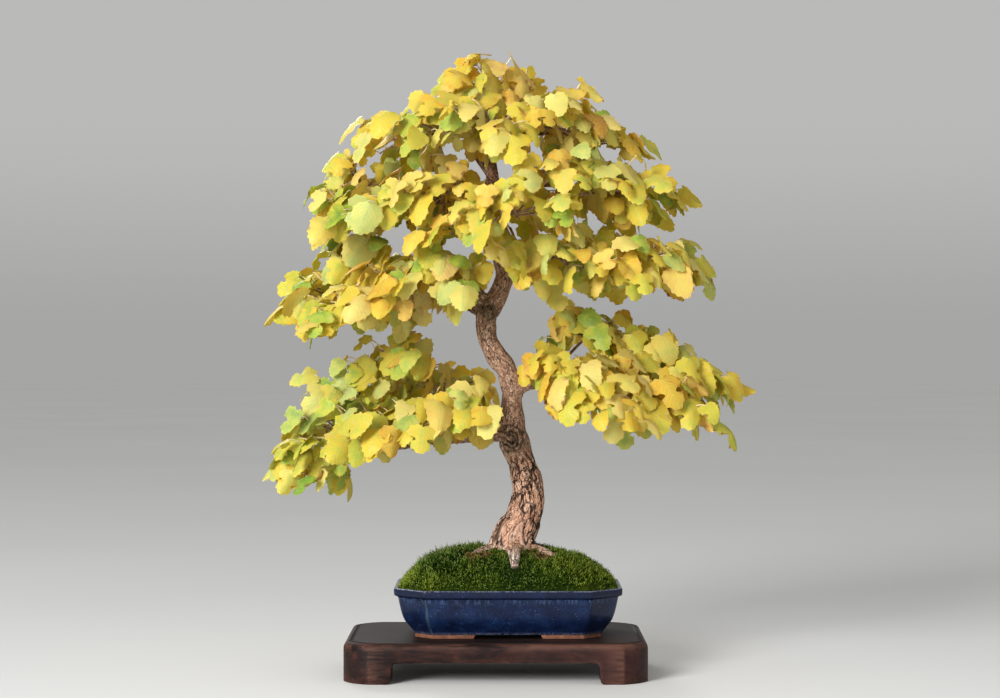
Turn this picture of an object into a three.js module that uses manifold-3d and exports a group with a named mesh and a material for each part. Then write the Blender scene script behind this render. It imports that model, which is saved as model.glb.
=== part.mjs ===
// Mulberry bonsai in a glazed pot on a low wooden stand.
// Millimetres, +Z up, the front faces -Y. The model is laid out around the
// pot's centre on the floor, and moved at the end so that the middle of its
// box lies over the origin.
import * as THREE from "three";
import { mergeVertices } from "three/addons/utils/BufferGeometryUtils.js";
import Module from "manifold-3d";

const wasm = await Module();
wasm.setup();

// Driving dimensions

const GAP = 0.3; // clearance kept between separate pieces

const STAND = {
  width: 414,
  depth: 264,
  height: 55,
  centreX: -17,
  underside: 29, // height of the apron's lower edge
  cornerRadius: 33,
  legAcrossFront: 65,
  legAcrossSide: 60,
  archRadius: 9,
};

const POT = {
  width: 314,
  depth: 220,
  cornerCut: 42,
  footHeight: 6,
  height: 68,
  wall: 7,
  floor: 7,
  footInnerX: 45,
  footInnerY: 34,
  footBand: 22,
  footInset: 29, // from the rim's outline to the outline of the feet
  footCut: 25, // corner cut of the feet
  drainRadius: 9,
  drainX: 62,
};

const MOSS = { thickness: 8, rise: 50, lump: 4, fullness: 3 };

const MESH_SCREEN = { size: 30, thickness: 1.2, bar: 2.4, openings: 2 };

// Bark relief, as parts of the radius
const BARK = {
  flareHeight: 168, // where the foot spreads most
  flareReach: 16,
  buttress: 0.13,
  ridge: 0.045,
  fineRidge: 0.03,
  burr: 0.05,
};

// Callus ring round an old pruning scar that faces the front
const SCAR = { x: 5, y: -11.5, z: 325, radius: 9.5, callus: 3.2, stretch: 1.15 };

const TRUNK_SIDES = 10;
const LIMB_SIDES = 5;
const ROOT_SIDES = 5;

const LEAF = {
  thickness: 0.7,
  stalkRadius: 0.8,
  foldSlope: 0.3, // how far the halves hang from the midrib, per width
  shortest: 27,
  lengthSpread: 21,
};

// The trunk's centre line from its buried foot to the apex: x, y, z, diameter
const TRUNK = [
  [7, 0, 124, 60],
  [7, 0, 150, 78],
  [7, 0, 170, 74],
  [10, 0, 192, 60],
  [20, 2, 211, 52],
  [27, 4, 237, 46],
  [27, 6, 264, 43],
  [20, 8, 290, 39],
  [8, 8, 328, 42],
  [5, 6, 362, 30],
  [5, 4, 382, 28],
  [6, 2, 395, 28],
  [-3, 0, 425, 30],
  [-15, -2, 440, 30],
  [-26, -4, 460, 28],
  [-30, -6, 474, 27],
  [-31, -6, 490, 28],
  [-28, -6, 506, 34],
  [-16, -6, 523, 26],
  [-8, -8, 541, 26],
  [-4, -8, 559, 25],
  [-12, -8, 580, 22],
  [-20, -8, 600, 20],
  [-31, -8, 631, 20],
  [-28, -6, 653, 20],
  [-22, -6, 685, 18],
  [-25, -6, 720, 14],
  [-30, -6, 760, 10],
];

// Surface roots that run out of the flare and dive under the moss
const ROOTS = [
  [[8, -20, 172, 25], [9, -45, 171, 20], [9, -64, 164, 16], [9, -77, 152, 11]],
  [[18, -8, 172, 24], [38, -20, 173, 14], [56, -32, 168, 10], [66, -40, 158, 8]],
  [[-4, -6, 172, 24], [-25, -18, 173, 13], [-42, -32, 168, 10], [-56, -44, 157, 8]],
  [[0, 15, 172, 20], [-24, 34, 171, 13], [-42, 52, 160, 8]],
  [[20, 15, 172, 20], [45, 32, 170, 12], [62, 46, 158, 8]],
];

const LIMBS = {
  low_left: [
    [5, 6, 330, 26], [-30, -2, 334, 22], [-75, -12, 328, 18], [-130, -18, 322, 14],
    [-190, -20, 308, 10], [-234, -18, 294, 7],
  ],
  low_left_back: [[2, 8, 345, 16], [-45, 45, 356, 12], [-100, 85, 358, 9], [-145, 100, 354, 6]],
  low_right: [
    [6, 3, 392, 20], [35, -6, 404, 16], [85, -12, 406, 13], [150, -16, 400, 10],
    [212, -16, 386, 7],
  ],
  low_right_back: [[4, 4, 408, 14], [55, 50, 424, 10], [110, 90, 428, 8], [150, 100, 422, 6]],
  mid_left: [
    [-28, -6, 512, 22], [-60, -10, 540, 18], [-110, -12, 548, 14], [-175, -14, 542, 10],
    [-230, -14, 528, 7],
  ],
  mid_left_back: [[-30, 0, 498, 14], [-75, 50, 520, 10], [-125, 95, 528, 8], [-168, 112, 522, 6]],
  mid_right: [
    [-5, -8, 566, 17], [28, -12, 568, 15], [52, -8, 580, 13], [100, -10, 584, 11],
    [150, -12, 574, 9], [200, -12, 556, 7],
  ],
  mid_right_back: [[-6, -4, 560, 13], [45, 50, 580, 10], [95, 95, 588, 8], [142, 116, 578, 6]],
  upper_left: [
    [-20, -8, 606, 16], [-70, -14, 640, 13], [-135, -16, 652, 10], [-192, -14, 650, 7],
  ],
  upper_right: [
    [-29, -6, 645, 15], [10, -12, 676, 12], [60, -12, 682, 10], [110, -12, 672, 8],
    [150, -12, 656, 6],
  ],
  upper_front: [[-26, -10, 625, 13], [-18, -55, 648, 10], [0, -102, 652, 7]],
  upper_back: [[-28, -4, 636, 13], [-25, 50, 655, 10], [-20, 105, 655, 7]],
  apex_left: [[-23, -6, 695, 12], [-60, -12, 735, 9], [-108, -14, 752, 6]],
  apex_right: [[-25, -6, 715, 11], [20, -10, 748, 8], [74, -12, 755, 6]],
  apex_front: [[-26, -8, 725, 9], [-22, -32, 758, 7], [-16, -52, 768, 5]],
  apex_back: [[-27, -4, 735, 9], [-30, 26, 766, 7], [-26, 48, 776, 5]],
  leader: [[-27, -6, 735, 10], [-31, -6, 760, 9], [-35, -6, 782, 6]],
};

// Leafy sprays: limb, place along it from 0 to 1, centre x, y, z, and the
// half widths of the spray across, deep and high
const SPRAYS = [
  ["low_left", 0.26, -70, -75, 354, 50, 50, 34],
  ["low_left", 0.43, -118, -84, 343, 56, 50, 40],
  ["low_left", 0.62, -178, -78, 335, 58, 50, 40],
  ["low_left", 0.86, -232, -62, 329, 52, 50, 34],
  ["low_left", 1.00, -275, -14, 280, 33, 46, 28],
  ["low_left", 0.74, -212, 30, 374, 55, 50, 34],
  ["low_left_back", 0.40, -163, 20, 430, 52, 48, 30],
  ["low_left_back", 1.00, -184, 118, 365, 56, 50, 34],
  ["low_left_back", 0.62, -95, 120, 380, 56, 50, 34],
  ["low_right", 0.31, 84, -76, 412, 42, 45, 28],
  ["low_right", 0.46, 136, -92, 377, 54, 50, 42],
  ["low_right", 0.78, 172, -78, 370, 52, 50, 42],
  ["low_right", 0.94, 212, -62, 363, 48, 50, 38],
  ["low_right", 1.00, 241, -14, 399, 40, 44, 32],
  ["low_right", 0.86, 190, 38, 440, 54, 50, 34],
  ["low_right_back", 0.45, 118, 48, 472, 50, 46, 28],
  ["low_right_back", 1.00, 188, 122, 410, 54, 50, 34],
  ["mid_left", 0.33, -94, -85, 541, 48, 50, 38],
  ["mid_left", 0.58, -138, -88, 530, 58, 50, 40],
  ["mid_left", 0.82, -192, -75, 502, 56, 50, 40],
  ["mid_left", 0.95, -230, -50, 498, 48, 50, 38],
  ["mid_left", 1.00, -254, 10, 520, 40, 46, 34],
  ["mid_left", 0.88, -205, 30, 574, 54, 50, 36],
  ["mid_left_back", 1.00, -206, 128, 518, 54, 50, 36],
  ["mid_left_back", 0.55, -105, 112, 548, 56, 50, 36],
  ["mid_right", 0.42, 85, -84, 562, 52, 50, 38],
  ["mid_right", 0.66, 142, -82, 564, 56, 50, 38],
  ["mid_right", 0.88, 188, -62, 556, 52, 50, 36],
  ["mid_right", 1.00, 211, -5, 563, 42, 46, 34],
  ["mid_right_back", 1.00, 176, 134, 562, 54, 50, 36],
  ["mid_right_back", 0.55, 72, 112, 582, 56, 50, 36],
  ["upper_left", 0.40, -92, -92, 650, 54, 50, 42],
  ["upper_left", 0.73, -150, -84, 640, 56, 50, 42],
  ["upper_left", 0.95, -198, -52, 632, 48, 50, 38],
  ["upper_left", 1.00, -201, 15, 676, 44, 48, 42],
  ["upper_front", 1.00, 12, -145, 625, 58, 50, 40],
  ["upper_front", 0.80, -52, -132, 592, 48, 45, 36],
  ["upper_right", 0.45, 68, -104, 668, 56, 50, 40],
  ["upper_right", 0.80, 132, -84, 661, 56, 50, 42],
  ["upper_right", 1.00, 170, -20, 654, 48, 48, 42],
  ["upper_back", 1.00, -10, 150, 645, 60, 50, 40],
  ["upper_back", 0.75, -95, 104, 655, 56, 50, 40],
  ["apex_left", 0.80, -98, -72, 747, 54, 50, 46],
  ["apex_left", 1.00, -154, -8, 728, 52, 48, 44],
  ["apex_right", 0.80, 54, -74, 752, 56, 50, 42],
  ["apex_right", 1.00, 112, -8, 728, 50, 48, 44],
  ["apex_front", 1.00, -20, -90, 747, 56, 50, 42],
  ["apex_back", 1.00, 46, 84, 787, 56, 50, 40],
  ["leader", 1.00, -30, -4, 812, 34, 40, 34],
];

const TWIGS = 6; // twigs that each spray's rule lays out
const TWIG_ORDER = [4, 0, 2, 5, 3, 1]; // the order in which they are tried here
const TWIGS_KEPT = 3;
const LEAVES_KEPT = 5;
const LEAVES_PER_TWIG = 4;
const BLADE_ROOM = 0.8; // room kept round a blade
const SHOOT_OUTSIDE = 0.8; // least share of a shoot that lies outside its limb
const WOOD = { stemRadius: 2.4, twigRadius: 1.3, shootRadius: 0.9, sunkRadius: 0.35 };

// From geometries to solids and back

function solidOf(geometry) {
  const bare = geometry.clone();
  bare.deleteAttribute("normal");
  bare.deleteAttribute("uv");
  const merged = mergeVertices(bare, 1e-3);
  return new wasm.Manifold(new wasm.Mesh({
    numProp: 3,
    vertProperties: new Float32Array(merged.attributes.position.array),
    triVerts: new Uint32Array(merged.index.array),
  }));
}

function solidFromPoints(points, triangles) {
  return new wasm.Manifold(new wasm.Mesh({
    numProp: 3,
    vertProperties: new Float32Array(points.flatMap((p) => [p.x, p.y, p.z])),
    triVerts: new Uint32Array(triangles.flat()),
  }));
}

function geometryOf(solid) {
  const mesh = solid.getMesh();
  const geometry = new THREE.BufferGeometry();
  geometry.setAttribute("position", new THREE.BufferAttribute(mesh.vertProperties, 3));
  geometry.setIndex(new THREE.BufferAttribute(mesh.triVerts, 1));
  geometry.computeVertexNormals();
  return geometry;
}

// The largest body of a solid, without the scraps that a cut leaves
function largestBody(solid) {
  const bodies = solid.decompose();
  return bodies.reduce((best, body) => (body.volume() > best.volume() ? body : best));
}

// Closed solid through rings of equally many points, each ring turning
// anticlockwise about the way that the rings follow one another
function loft(rings) {
  const count = rings[0].length;
  const triangles = [];
  for (let r = 0; r + 1 < rings.length; r += 1) {
    for (let i = 0; i < count; i += 1) {
      const a = r * count + i;
      const b = r * count + ((i + 1) % count);
      triangles.push([a, b, b + count], [a, b + count, a + count]);
    }
  }
  const last = (rings.length - 1) * count;
  for (let i = 1; i + 1 < count; i += 1) {
    triangles.push([0, i + 1, i], [last, last + i, last + i + 1]);
  }
  return solidFromPoints(rings.flat(), triangles);
}

const plainRadius = (radius) => radius;

// Tapered tube along smooth points of x, y, z and diameter; shape gives the
// radius from the plain one, the angle and the place along the tube
function taperedTube(stations, { sides, steps, extra = 0, shape = plainRadius }) {
  const curve = smoothCurve(stations);
  const frames = curve.computeFrenetFrames(steps, false);
  const rings = [];
  for (let s = 0; s <= steps; s += 1) {
    const u = curve.getUtoTmapping(s / steps);
    const centre = curve.getPoint(u);
    const radius = diameterAt(stations, u) / 2;
    const ring = [];
    for (let i = 0; i < sides; i += 1) {
      const angle = (i / sides) * 2 * Math.PI;
      const reach = shape(radius, angle, centre) + extra;
      const across = frames.normals[s].clone().multiplyScalar(Math.cos(angle) * reach);
      const along = frames.binormals[s].clone().multiplyScalar(Math.sin(angle) * reach);
      ring.push(centre.clone().add(across).add(along));
    }
    rings.push(ring);
  }
  return loft(rings);
}

function smoothCurve(stations) {
  const points = stations.map(([x, y, z]) => new THREE.Vector3(x, y, z));
  return new THREE.CatmullRomCurve3(points, false, "catmullrom", 0.5);
}

function diameterAt(stations, t) {
  const place = t * (stations.length - 1);
  const index = Math.min(Math.floor(place), stations.length - 2);
  const part = place - index;
  return stations[index][3] * (1 - part) + stations[index + 1][3] * part;
}

// Outlines

// Rectangle with its corners cut, anticlockwise, with extra points on each side
function cutCornerRing(halfX, halfY, cut, z, perSide = 1) {
  const corners = [
    [halfX, -halfY + cut], [halfX, halfY - cut], [halfX - cut, halfY], [-halfX + cut, halfY],
    [-halfX, halfY - cut], [-halfX, -halfY + cut], [-halfX + cut, -halfY], [halfX - cut, -halfY],
  ];
  const ring = [];
  corners.forEach(([x, y], index) => {
    const [nextX, nextY] = corners[(index + 1) % corners.length];
    for (let i = 0; i < perSide; i += 1) {
      const part = i / perSide;
      ring.push(new THREE.Vector3(x + (nextX - x) * part, y + (nextY - y) * part, z));
    }
  });
  return ring;
}

// Rectangle with round corners, anticlockwise
function roundCornerRing(halfX, halfY, radius, z, steps = 3) {
  const ring = [];
  const centres = [[1, -1, -0.5], [1, 1, 0], [-1, 1, 0.5], [-1, -1, 1]];
  for (const [sideX, sideY, turn] of centres) {
    for (let i = 0; i <= steps; i += 1) {
      const angle = (turn + (0.5 * i) / steps) * Math.PI;
      const x = sideX * (halfX - radius) + radius * Math.cos(angle);
      const y = sideY * (halfY - radius) + radius * Math.sin(angle);
      ring.push(new THREE.Vector3(x, y, z));
    }
  }
  return ring;
}

// Stand: a slab with a softly rounded top edge, cut through between its legs

// Opening under the apron, with small round corners at its top
function archwayGeometry(span, height, radius, length) {
  const half = span / 2;
  const shape = new THREE.Shape();
  shape.moveTo(-half, -1);
  shape.lineTo(half, -1);
  shape.lineTo(half, height - radius);
  shape.absarc(half - radius, height - radius, radius, 0, Math.PI / 2, false);
  shape.absarc(-half + radius, height - radius, radius, Math.PI / 2, Math.PI, false);
  shape.closePath();
  const geometry = new THREE.ExtrudeGeometry(shape, { depth: length, bevelEnabled: false, curveSegments: 3 });
  geometry.translate(0, 0, -length / 2);
  geometry.rotateX(Math.PI / 2);
  return geometry;
}

function standSolid() {
  const halfX = STAND.width / 2;
  const halfY = STAND.depth / 2;
  const profile = [[0, 1.5], [2, 0], [STAND.height - 10, 0], [STAND.height - 4, 1.2],
    [STAND.height - 1.2, 3.6], [STAND.height, 7]];
  const rings = profile.map(([z, inset]) => roundCornerRing(
    halfX - inset,
    halfY - inset,
    STAND.cornerRadius - inset / 2,
    z,
  ));
  const frontWay = archwayGeometry(
    STAND.width - 2 * STAND.legAcrossFront,
    STAND.underside,
    STAND.archRadius,
    STAND.depth + 2,
  );
  const sideWay = archwayGeometry(
    STAND.depth - 2 * STAND.legAcrossSide,
    STAND.underside,
    STAND.archRadius,
    STAND.width + 2,
  );
  sideWay.rotateZ(Math.PI / 2);
  return loft(rings)
    .subtract(solidOf(frontWay))
    .subtract(solidOf(sideWay))
    .translate([STAND.centreX, 0, 0]);
}

// Pot: outer wall, rim band and inner wall in one loft, then feet and drain holes

const potBase = STAND.height + GAP;
const potUnderside = potBase + POT.footHeight;
const potRim = potBase + POT.height;
const potFloorTop = potUnderside + POT.floor;

// Height above the pot's underside, and how far the wall stands in from the rim
const POT_OUTSIDE = [
  [0, 27.5], [4, 25.5], [10, 20], [17, 15], [25, 11.5], [34, 9], [45, 6.6],
  [50.5, 5.2], [52.3, 0.6], [POT.height - POT.footHeight - 0.8, 0], [POT.height - POT.footHeight, 1],
];
const POT_INSIDE = [
  [POT.height - POT.footHeight, 6], [POT.height - POT.footHeight - 1, POT.wall],
  [44, 7 + POT.wall], [34, 9 + POT.wall], [17, 15 + POT.wall], [POT.floor, 24 + POT.wall],
];

function potRing(height, inset, perSide = 1) {
  return cutCornerRing(
    POT.width / 2 - inset,
    POT.depth / 2 - inset,
    POT.cornerCut - inset * 0.6,
    potUnderside + height,
    perSide,
  );
}

function potFootSolid(sideX, sideY) {
  const outerX = POT.width / 2 - POT.footInset;
  const outerY = POT.depth / 2 - POT.footInset;
  const cut = POT.footCut;
  const band = POT.footBand;
  const outline = [
    [POT.footInnerX, outerY], [outerX - cut, outerY], [outerX, outerY - cut], [outerX, POT.footInnerY],
    [outerX - band, POT.footInnerY], [outerX - band, outerY - cut - band * 0.3],
    [outerX - cut - band * 0.3, outerY - band], [POT.footInnerX, outerY - band],
  ];
  const shape = new THREE.Shape(outline.map(([x, y]) => new THREE.Vector2(sideX * x, sideY * y)));
  const geometry = new THREE.ExtrudeGeometry(shape, { depth: POT.footHeight + 2, bevelEnabled: false });
  geometry.translate(0, 0, potBase);
  return solidOf(geometry);
}

function potSolid() {
  const rings = [];
  for (const [height, inset] of [...POT_OUTSIDE, ...POT_INSIDE]) {
    rings.push(potRing(height, inset));
  }
  let pot = loft(rings);
  for (const sideX of [-1, 1]) {
    for (const sideY of [-1, 1]) {
      pot = pot.add(potFootSolid(sideX, sideY));
    }
    const drain = new THREE.CylinderGeometry(POT.drainRadius, POT.drainRadius, POT.floor + 4, 8);
    drain.rotateX(Math.PI / 2);
    drain.translate(sideX * POT.drainX, 0, potUnderside + POT.floor / 2);
    pot = pot.subtract(solidOf(drain));
  }
  return pot;
}

// Drain mesh: a small square screen with a grid of openings

function drainMeshSolid(sideX) {
  const { size, thickness, bar, openings } = MESH_SCREEN;
  const pitch = (size - bar) / openings;
  let screen = solidOf(new THREE.BoxGeometry(size, size, thickness));
  for (let row = 0; row < openings; row += 1) {
    for (let column = 0; column < openings; column += 1) {
      const opening = new THREE.BoxGeometry(pitch - bar, pitch - bar, 3 * thickness);
      opening.translate(pitch * (column - (openings - 1) / 2), pitch * (row - (openings - 1) / 2), 0);
      screen = screen.subtract(solidOf(opening));
    }
  }
  return screen.translate([sideX * POT.drainX, 0, potFloorTop + GAP + thickness / 2]);
}

// Soil and moss: both follow one mound, full in the middle and low at the rim

const MOUND_SCALES = [1, 0.8, 0.55, 0.28];
const MOUND_SIDE_POINTS = 2;
const WALL_ROOM = 0.6;
const rimHeight = POT.height - POT.footHeight;

// How far the pot's inner wall stands in from the rim at a height above the underside
function insideInset(height) {
  const above = POT_INSIDE.findIndex(([level]) => level <= height);
  const [high, highInset] = POT_INSIDE[above - 1];
  const [low, lowInset] = POT_INSIDE[above];
  return lowInset + ((highInset - lowInset) * (height - low)) / (high - low);
}

function fillRing(height) {
  return potRing(height, insideInset(height) + WALL_ROOM, MOUND_SIDE_POINTS);
}

// The mound's surface above the rim, less a drop, on a ring scaled towards the middle
function moundRing(scale, drop, lump = 0) {
  const edge = fillRing(Math.min(rimHeight - 1 - drop, rimHeight - 1));
  const rise = MOSS.rise * (1 - scale ** MOSS.fullness) - 1;
  return edge.map((point) => {
    const x = point.x * scale;
    const y = point.y * scale;
    const swell = Math.sin(x / 13 + 2 * Math.sin(y / 31)) * Math.cos(y / 11 + Math.sin(x / 23));
    return new THREE.Vector3(x, y, potRim + rise - drop + lump * swell * (1.15 - scale));
  });
}

function soilSolid(plant) {
  const rings = [POT.floor + GAP, 17, 34, 44].map(fillRing);
  for (const scale of MOUND_SCALES) {
    rings.push(moundRing(scale, MOSS.thickness + GAP));
  }
  let soil = loft(rings).subtract(plant);
  for (const sideX of [-1, 1]) {
    const pocket = new THREE.BoxGeometry(
      MESH_SCREEN.size + 2 * GAP,
      MESH_SCREEN.size + 2 * GAP,
      2 * (MESH_SCREEN.thickness + GAP),
    );
    pocket.translate(sideX * POT.drainX, 0, potFloorTop + GAP);
    soil = soil.subtract(solidOf(pocket));
  }
  return largestBody(soil);
}

function mossSolid(plant) {
  const rings = [...MOUND_SCALES].reverse().map((scale) => moundRing(scale, MOSS.thickness));
  rings.push(moundRing(1, 0));
  for (const scale of [0.92, 0.7, 0.45]) {
    rings.push(moundRing(scale, 0, MOSS.lump));
  }
  return largestBody(loft(rings).subtract(plant));
}

// Trunk, limbs and roots, grown as one piece

// Bark ridges run up the trunk, and the foot spreads into buttresses
function barkShape(radius, angle, centre) {
  const { z } = centre;
  const flare = Math.exp(-Math.abs(z - BARK.flareHeight) / BARK.flareReach);
  const buttress = BARK.buttress * flare * Math.max(0, Math.cos(3 * angle + 0.6));
  const fade = THREE.MathUtils.smoothstep(z, 130, 175);
  const ridge = BARK.ridge * Math.sin(4 * angle + z / 26) + BARK.fineRidge * Math.sin(3 * angle - z / 17);
  const burr = BARK.burr * Math.sin(z / 6.5 + 2 * angle);
  return radius * (1 + buttress + fade * (ridge + burr));
}

function scarSolid(extra) {
  const geometry = new THREE.TorusGeometry(SCAR.radius, SCAR.callus + extra, 4, 9);
  geometry.scale(1, SCAR.stretch, 1);
  geometry.rotateX(Math.PI / 2);
  geometry.translate(SCAR.x, SCAR.y, SCAR.z);
  return solidOf(geometry);
}

function trunkSolid(extra = 0) {
  let tree = taperedTube(TRUNK, { sides: TRUNK_SIDES, steps: 28, extra, shape: barkShape });
  tree = tree.add(scarSolid(extra));
  for (const root of ROOTS) {
    tree = tree.add(taperedTube(root, { sides: ROOT_SIDES, steps: 3, extra }));
  }
  for (const limb of Object.values(LIMBS)) {
    tree = tree.add(taperedTube(limb, { sides: LIMB_SIDES, steps: limb.length, extra }));
  }
  return tree;
}

// Leaf blades

// Half outlines from the stalk to the tip, as parts of the blade's length:
// along the midrib and out from it. One half at most is notched here, and the
// second lobe of the third form is left to the finer surface.
const PLAIN_HALF = [[-0.06, 0.38], [0.34, 0.45]];
const NOTCHED_HALF = [[-0.03, 0.46], [0.36, 0.24], [0.54, 0.35]];
const LEAF_FORMS = [
  [PLAIN_HALF, PLAIN_HALF],
  [NOTCHED_HALF, PLAIN_HALF],
  [PLAIN_HALF, NOTCHED_HALF],
];

// Three-sided sections along a path, not twisted, from the blade's end back
function stalkSections(path, leaf) {
  const ways = path.slice(1).map(({ point }, i) => point.clone().sub(path[i].point).normalize());
  ways.push(leaf.tipWay);
  const sections = [];
  let side = leaf.sideWay;
  for (let i = path.length - 1; i >= 0; i -= 1) {
    const way = ways[i].clone().add(ways[Math.max(i - 1, 0)]).normalize();
    side = side.clone().addScaledVector(way, -side.dot(way)).normalize();
    const face = new THREE.Vector3().crossVectors(way, side);
    const { point, radius } = path[i];
    sections.unshift([
      point.clone().addScaledVector(side, radius).addScaledVector(face, 0.6 * radius),
      point.clone().addScaledVector(side, -radius).addScaledVector(face, 0.6 * radius),
      point.clone().addScaledVector(face, -radius),
    ]);
  }
  return sections;
}

// A stalk of three sides runs along the path into the blade, whose halves
// are flat and hang from the midrib. Both faces are split the same way.
function leafSolid(leaf, path, extra = 0) {
  const { base, tipWay, sideWay, faceWay, length } = leaf;
  const [left, right] = LEAF_FORMS[leaf.form];
  const lift = (LEAF.thickness + extra) / 2;
  const stalk = [...path, { point: base, radius: LEAF.stalkRadius }];
  const points = stalkSections(stalk, leaf).flat();
  const outline = [...left, [1, 0], ...right.map(([along, out]) => [along, -out]).reverse()];
  const top = points.length;
  const under = top + outline.length;
  for (const offset of [lift, -lift]) {
    for (const [along, out] of outline) {
      points.push(base.clone()
        .addScaledVector(tipWay, along * length)
        .addScaledVector(sideWay, out * length)
        .addScaledVector(faceWay, offset - Math.abs(out) * length * LEAF.foldSlope));
    }
  }

  const triangles = [[0, 2, 1]];
  for (let a = 0; a < 3 * path.length; a += 3) {
    for (const [i, j] of [[0, 1], [1, 2], [2, 0]]) {
      triangles.push([a + i, a + j, a + j + 3], [a + i, a + j + 3, a + i + 3]);
    }
  }
  const baseLeft = top - 3;
  const baseRight = top - 2;
  const baseUnder = top - 1;
  const last = outline.length - 1;
  const tip = left.length;
  triangles.push(
    [baseLeft, baseRight, top + tip],
    [baseLeft, top, under],
    [baseLeft, under, baseUnder],
    [top + last, baseRight, under + last],
    [baseRight, baseUnder, under + last],
  );
  for (let i = 0; i < last; i += 1) {
    const corner = i < tip ? baseLeft : baseRight;
    triangles.push([corner, top + i + 1, top + i]);
    triangles.push([baseUnder, under + i, under + i + 1]);
    triangles.push([top + i, top + i + 1, under + i + 1], [top + i, under + i + 1, under + i]);
  }
  return solidFromPoints(points, triangles);
}

// Growth rule of a spray

// Repeatable random numbers from 0 to 1
function randomDraws(seed) {
  let state = seed;
  return () => {
    state = (state + 0x6d2b79f5) | 0;
    let t = Math.imul(state ^ (state >>> 15), 1 | state);
    t = (t + Math.imul(t ^ (t >>> 7), 61 | t)) ^ t;
    return ((t ^ (t >>> 14)) >>> 0) / 4294967296;
  };
}

const UP = new THREE.Vector3(0, 0, 1);
const GROWTH = {
  stemArch: 0.12, // how high a stem's middle is drawn up, per length
  twigArch: 0.15,
  goldenTurn: THREE.MathUtils.degToRad(137.5),
  turnPlay: 1.57,
  lowestRise: -0.3, // height of the lowest twig's end, per half height of the spray
  riseSpan: 1.25,
  reachLeast: 0.85, // how far twigs reach, per half width of the spray
  reachPlay: 0.3,
  nearestTwig: 0.55, // where the first twig may leave the stem
  leafStep: 0.18, // spacing of the leaves back from a twig's end
  stalkLeast: 18,
  stalkPlay: 12,
  rollPlay: THREE.MathUtils.degToRad(70),
  axisX: -10, // the leaves turn away from the upright line at this x
};

function growSpray(index) {
  const [limb, place, x, y, z, across, deep, high] = SPRAYS[index];
  const draw = randomDraws(1000 + 17 * index);
  const root = smoothCurve(LIMBS[limb]).getPoint(place);
  const centre = new THREE.Vector3(x, y, z);
  const arch = root.clone().add(centre).multiplyScalar(0.5)
    .addScaledVector(UP, GROWTH.stemArch * centre.distanceTo(root));
  const stem = new THREE.QuadraticBezierCurve3(root, arch, centre);
  const twigs = [];
  for (let k = 0; k < TWIGS; k += 1) {
    const turn = k * GROWTH.goldenTurn + GROWTH.turnPlay * draw() + index;
    const rise = GROWTH.lowestRise + (GROWTH.riseSpan * (k + 0.5)) / TWIGS;
    const spread = Math.sqrt(1 - rise * rise);
    const reach = GROWTH.reachLeast + GROWTH.reachPlay * draw();
    const tip = new THREE.Vector3(
      x + reach * across * spread * Math.cos(turn),
      y + reach * deep * spread * Math.sin(turn),
      z + reach * high * rise,
    );
    const from = GROWTH.nearestTwig + (1 - GROWTH.nearestTwig) * draw();
    const start = stem.getPoint(from);
    const bend = start.clone().add(tip).multiplyScalar(0.5)
      .addScaledVector(UP, GROWTH.twigArch * tip.distanceTo(start));
    const curve = new THREE.QuadraticBezierCurve3(start, bend, tip);
    const leaves = [];
    for (let j = 0; j < LEAVES_PER_TWIG; j += 1) {
      leaves.push(growLeaf({ centre, across, deep, high, curve, j, draw }));
    }
    twigs.push({ curve, from, leaves });
  }
  return { stem, twigs };
}

// Leaves stand alternately on both sides of the twig, one at its end. They
// turn away from the crown's axis and droop, and face out of the spray and up.
function growLeaf({ centre, across, deep, high, curve, j, draw }) {
  const [stalkDraw, lengthDraw, rollDraw, droopDraw, liftDraw, formDraw] = Array.from({ length: 6 }, draw);
  const place = 1 - GROWTH.leafStep * j;
  const root = curve.getPoint(place);
  const out = curve.v2.clone().sub(curve.v0).normalize();
  const side = new THREE.Vector3().crossVectors(out, UP).normalize();
  const sideShare = j === 0 ? -0.15 : (j % 2) * 2 - 1;
  const shell = root.clone().sub(centre).divide(new THREE.Vector3(across, deep, high)).normalize();
  const axisOut = new THREE.Vector3(root.x - GROWTH.axisX, root.y, 0).normalize();
  const stalk = out.clone().multiplyScalar(0.6)
    .addScaledVector(side, 0.9 * sideShare)
    .addScaledVector(shell, 0.5)
    .addScaledVector(UP, 0.1 + 0.3 * liftDraw)
    .normalize();
  const base = root.clone().addScaledVector(stalk, GROWTH.stalkLeast + GROWTH.stalkPlay * stalkDraw);
  const tipWay = stalk.clone().multiplyScalar(0.35)
    .addScaledVector(axisOut, 0.35)
    .addScaledVector(UP, -0.45 - droopDraw)
    .normalize();
  const faceWay = shell.clone().multiplyScalar(0.8)
    .addScaledVector(UP, 0.7)
    .addScaledVector(axisOut, 0.25)
    .add(new THREE.Vector3(0, -0.25, 0));
  faceWay.addScaledVector(tipWay, -tipWay.dot(faceWay)).normalize();
  faceWay.applyAxisAngle(tipWay, GROWTH.rollPlay * (rollDraw - 0.5));
  const sideWay = new THREE.Vector3().crossVectors(faceWay, tipWay);
  return {
    place,
    base,
    tipWay,
    sideWay,
    faceWay,
    length: LEAF.shortest + LEAF.lengthSpread * lengthDraw ** 1.3,
    form: Math.min(2, Math.floor(3.6 * formDraw * formDraw + 0.2)),
  };
}

// Solids already placed, as { node, box, solid }, for keeping them apart
const placed = [];

function boxOf(solid) {
  const { min, max } = solid.boundingBox();
  return new THREE.Box3(new THREE.Vector3(...min), new THREE.Vector3(...max));
}

function crosses(solid, obstacles) {
  const box = boxOf(solid);
  return obstacles.some((other) => other.box.intersectsBox(box)
    && !other.solid.intersect(solid).isEmpty());
}

// The stem is straight from its arch to its end, and the other twigs start there
function stemPoint(stem, place) {
  return stem.getPoint(0.5).lerp(stem.getPoint(1), 2 * place - 1);
}

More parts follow.
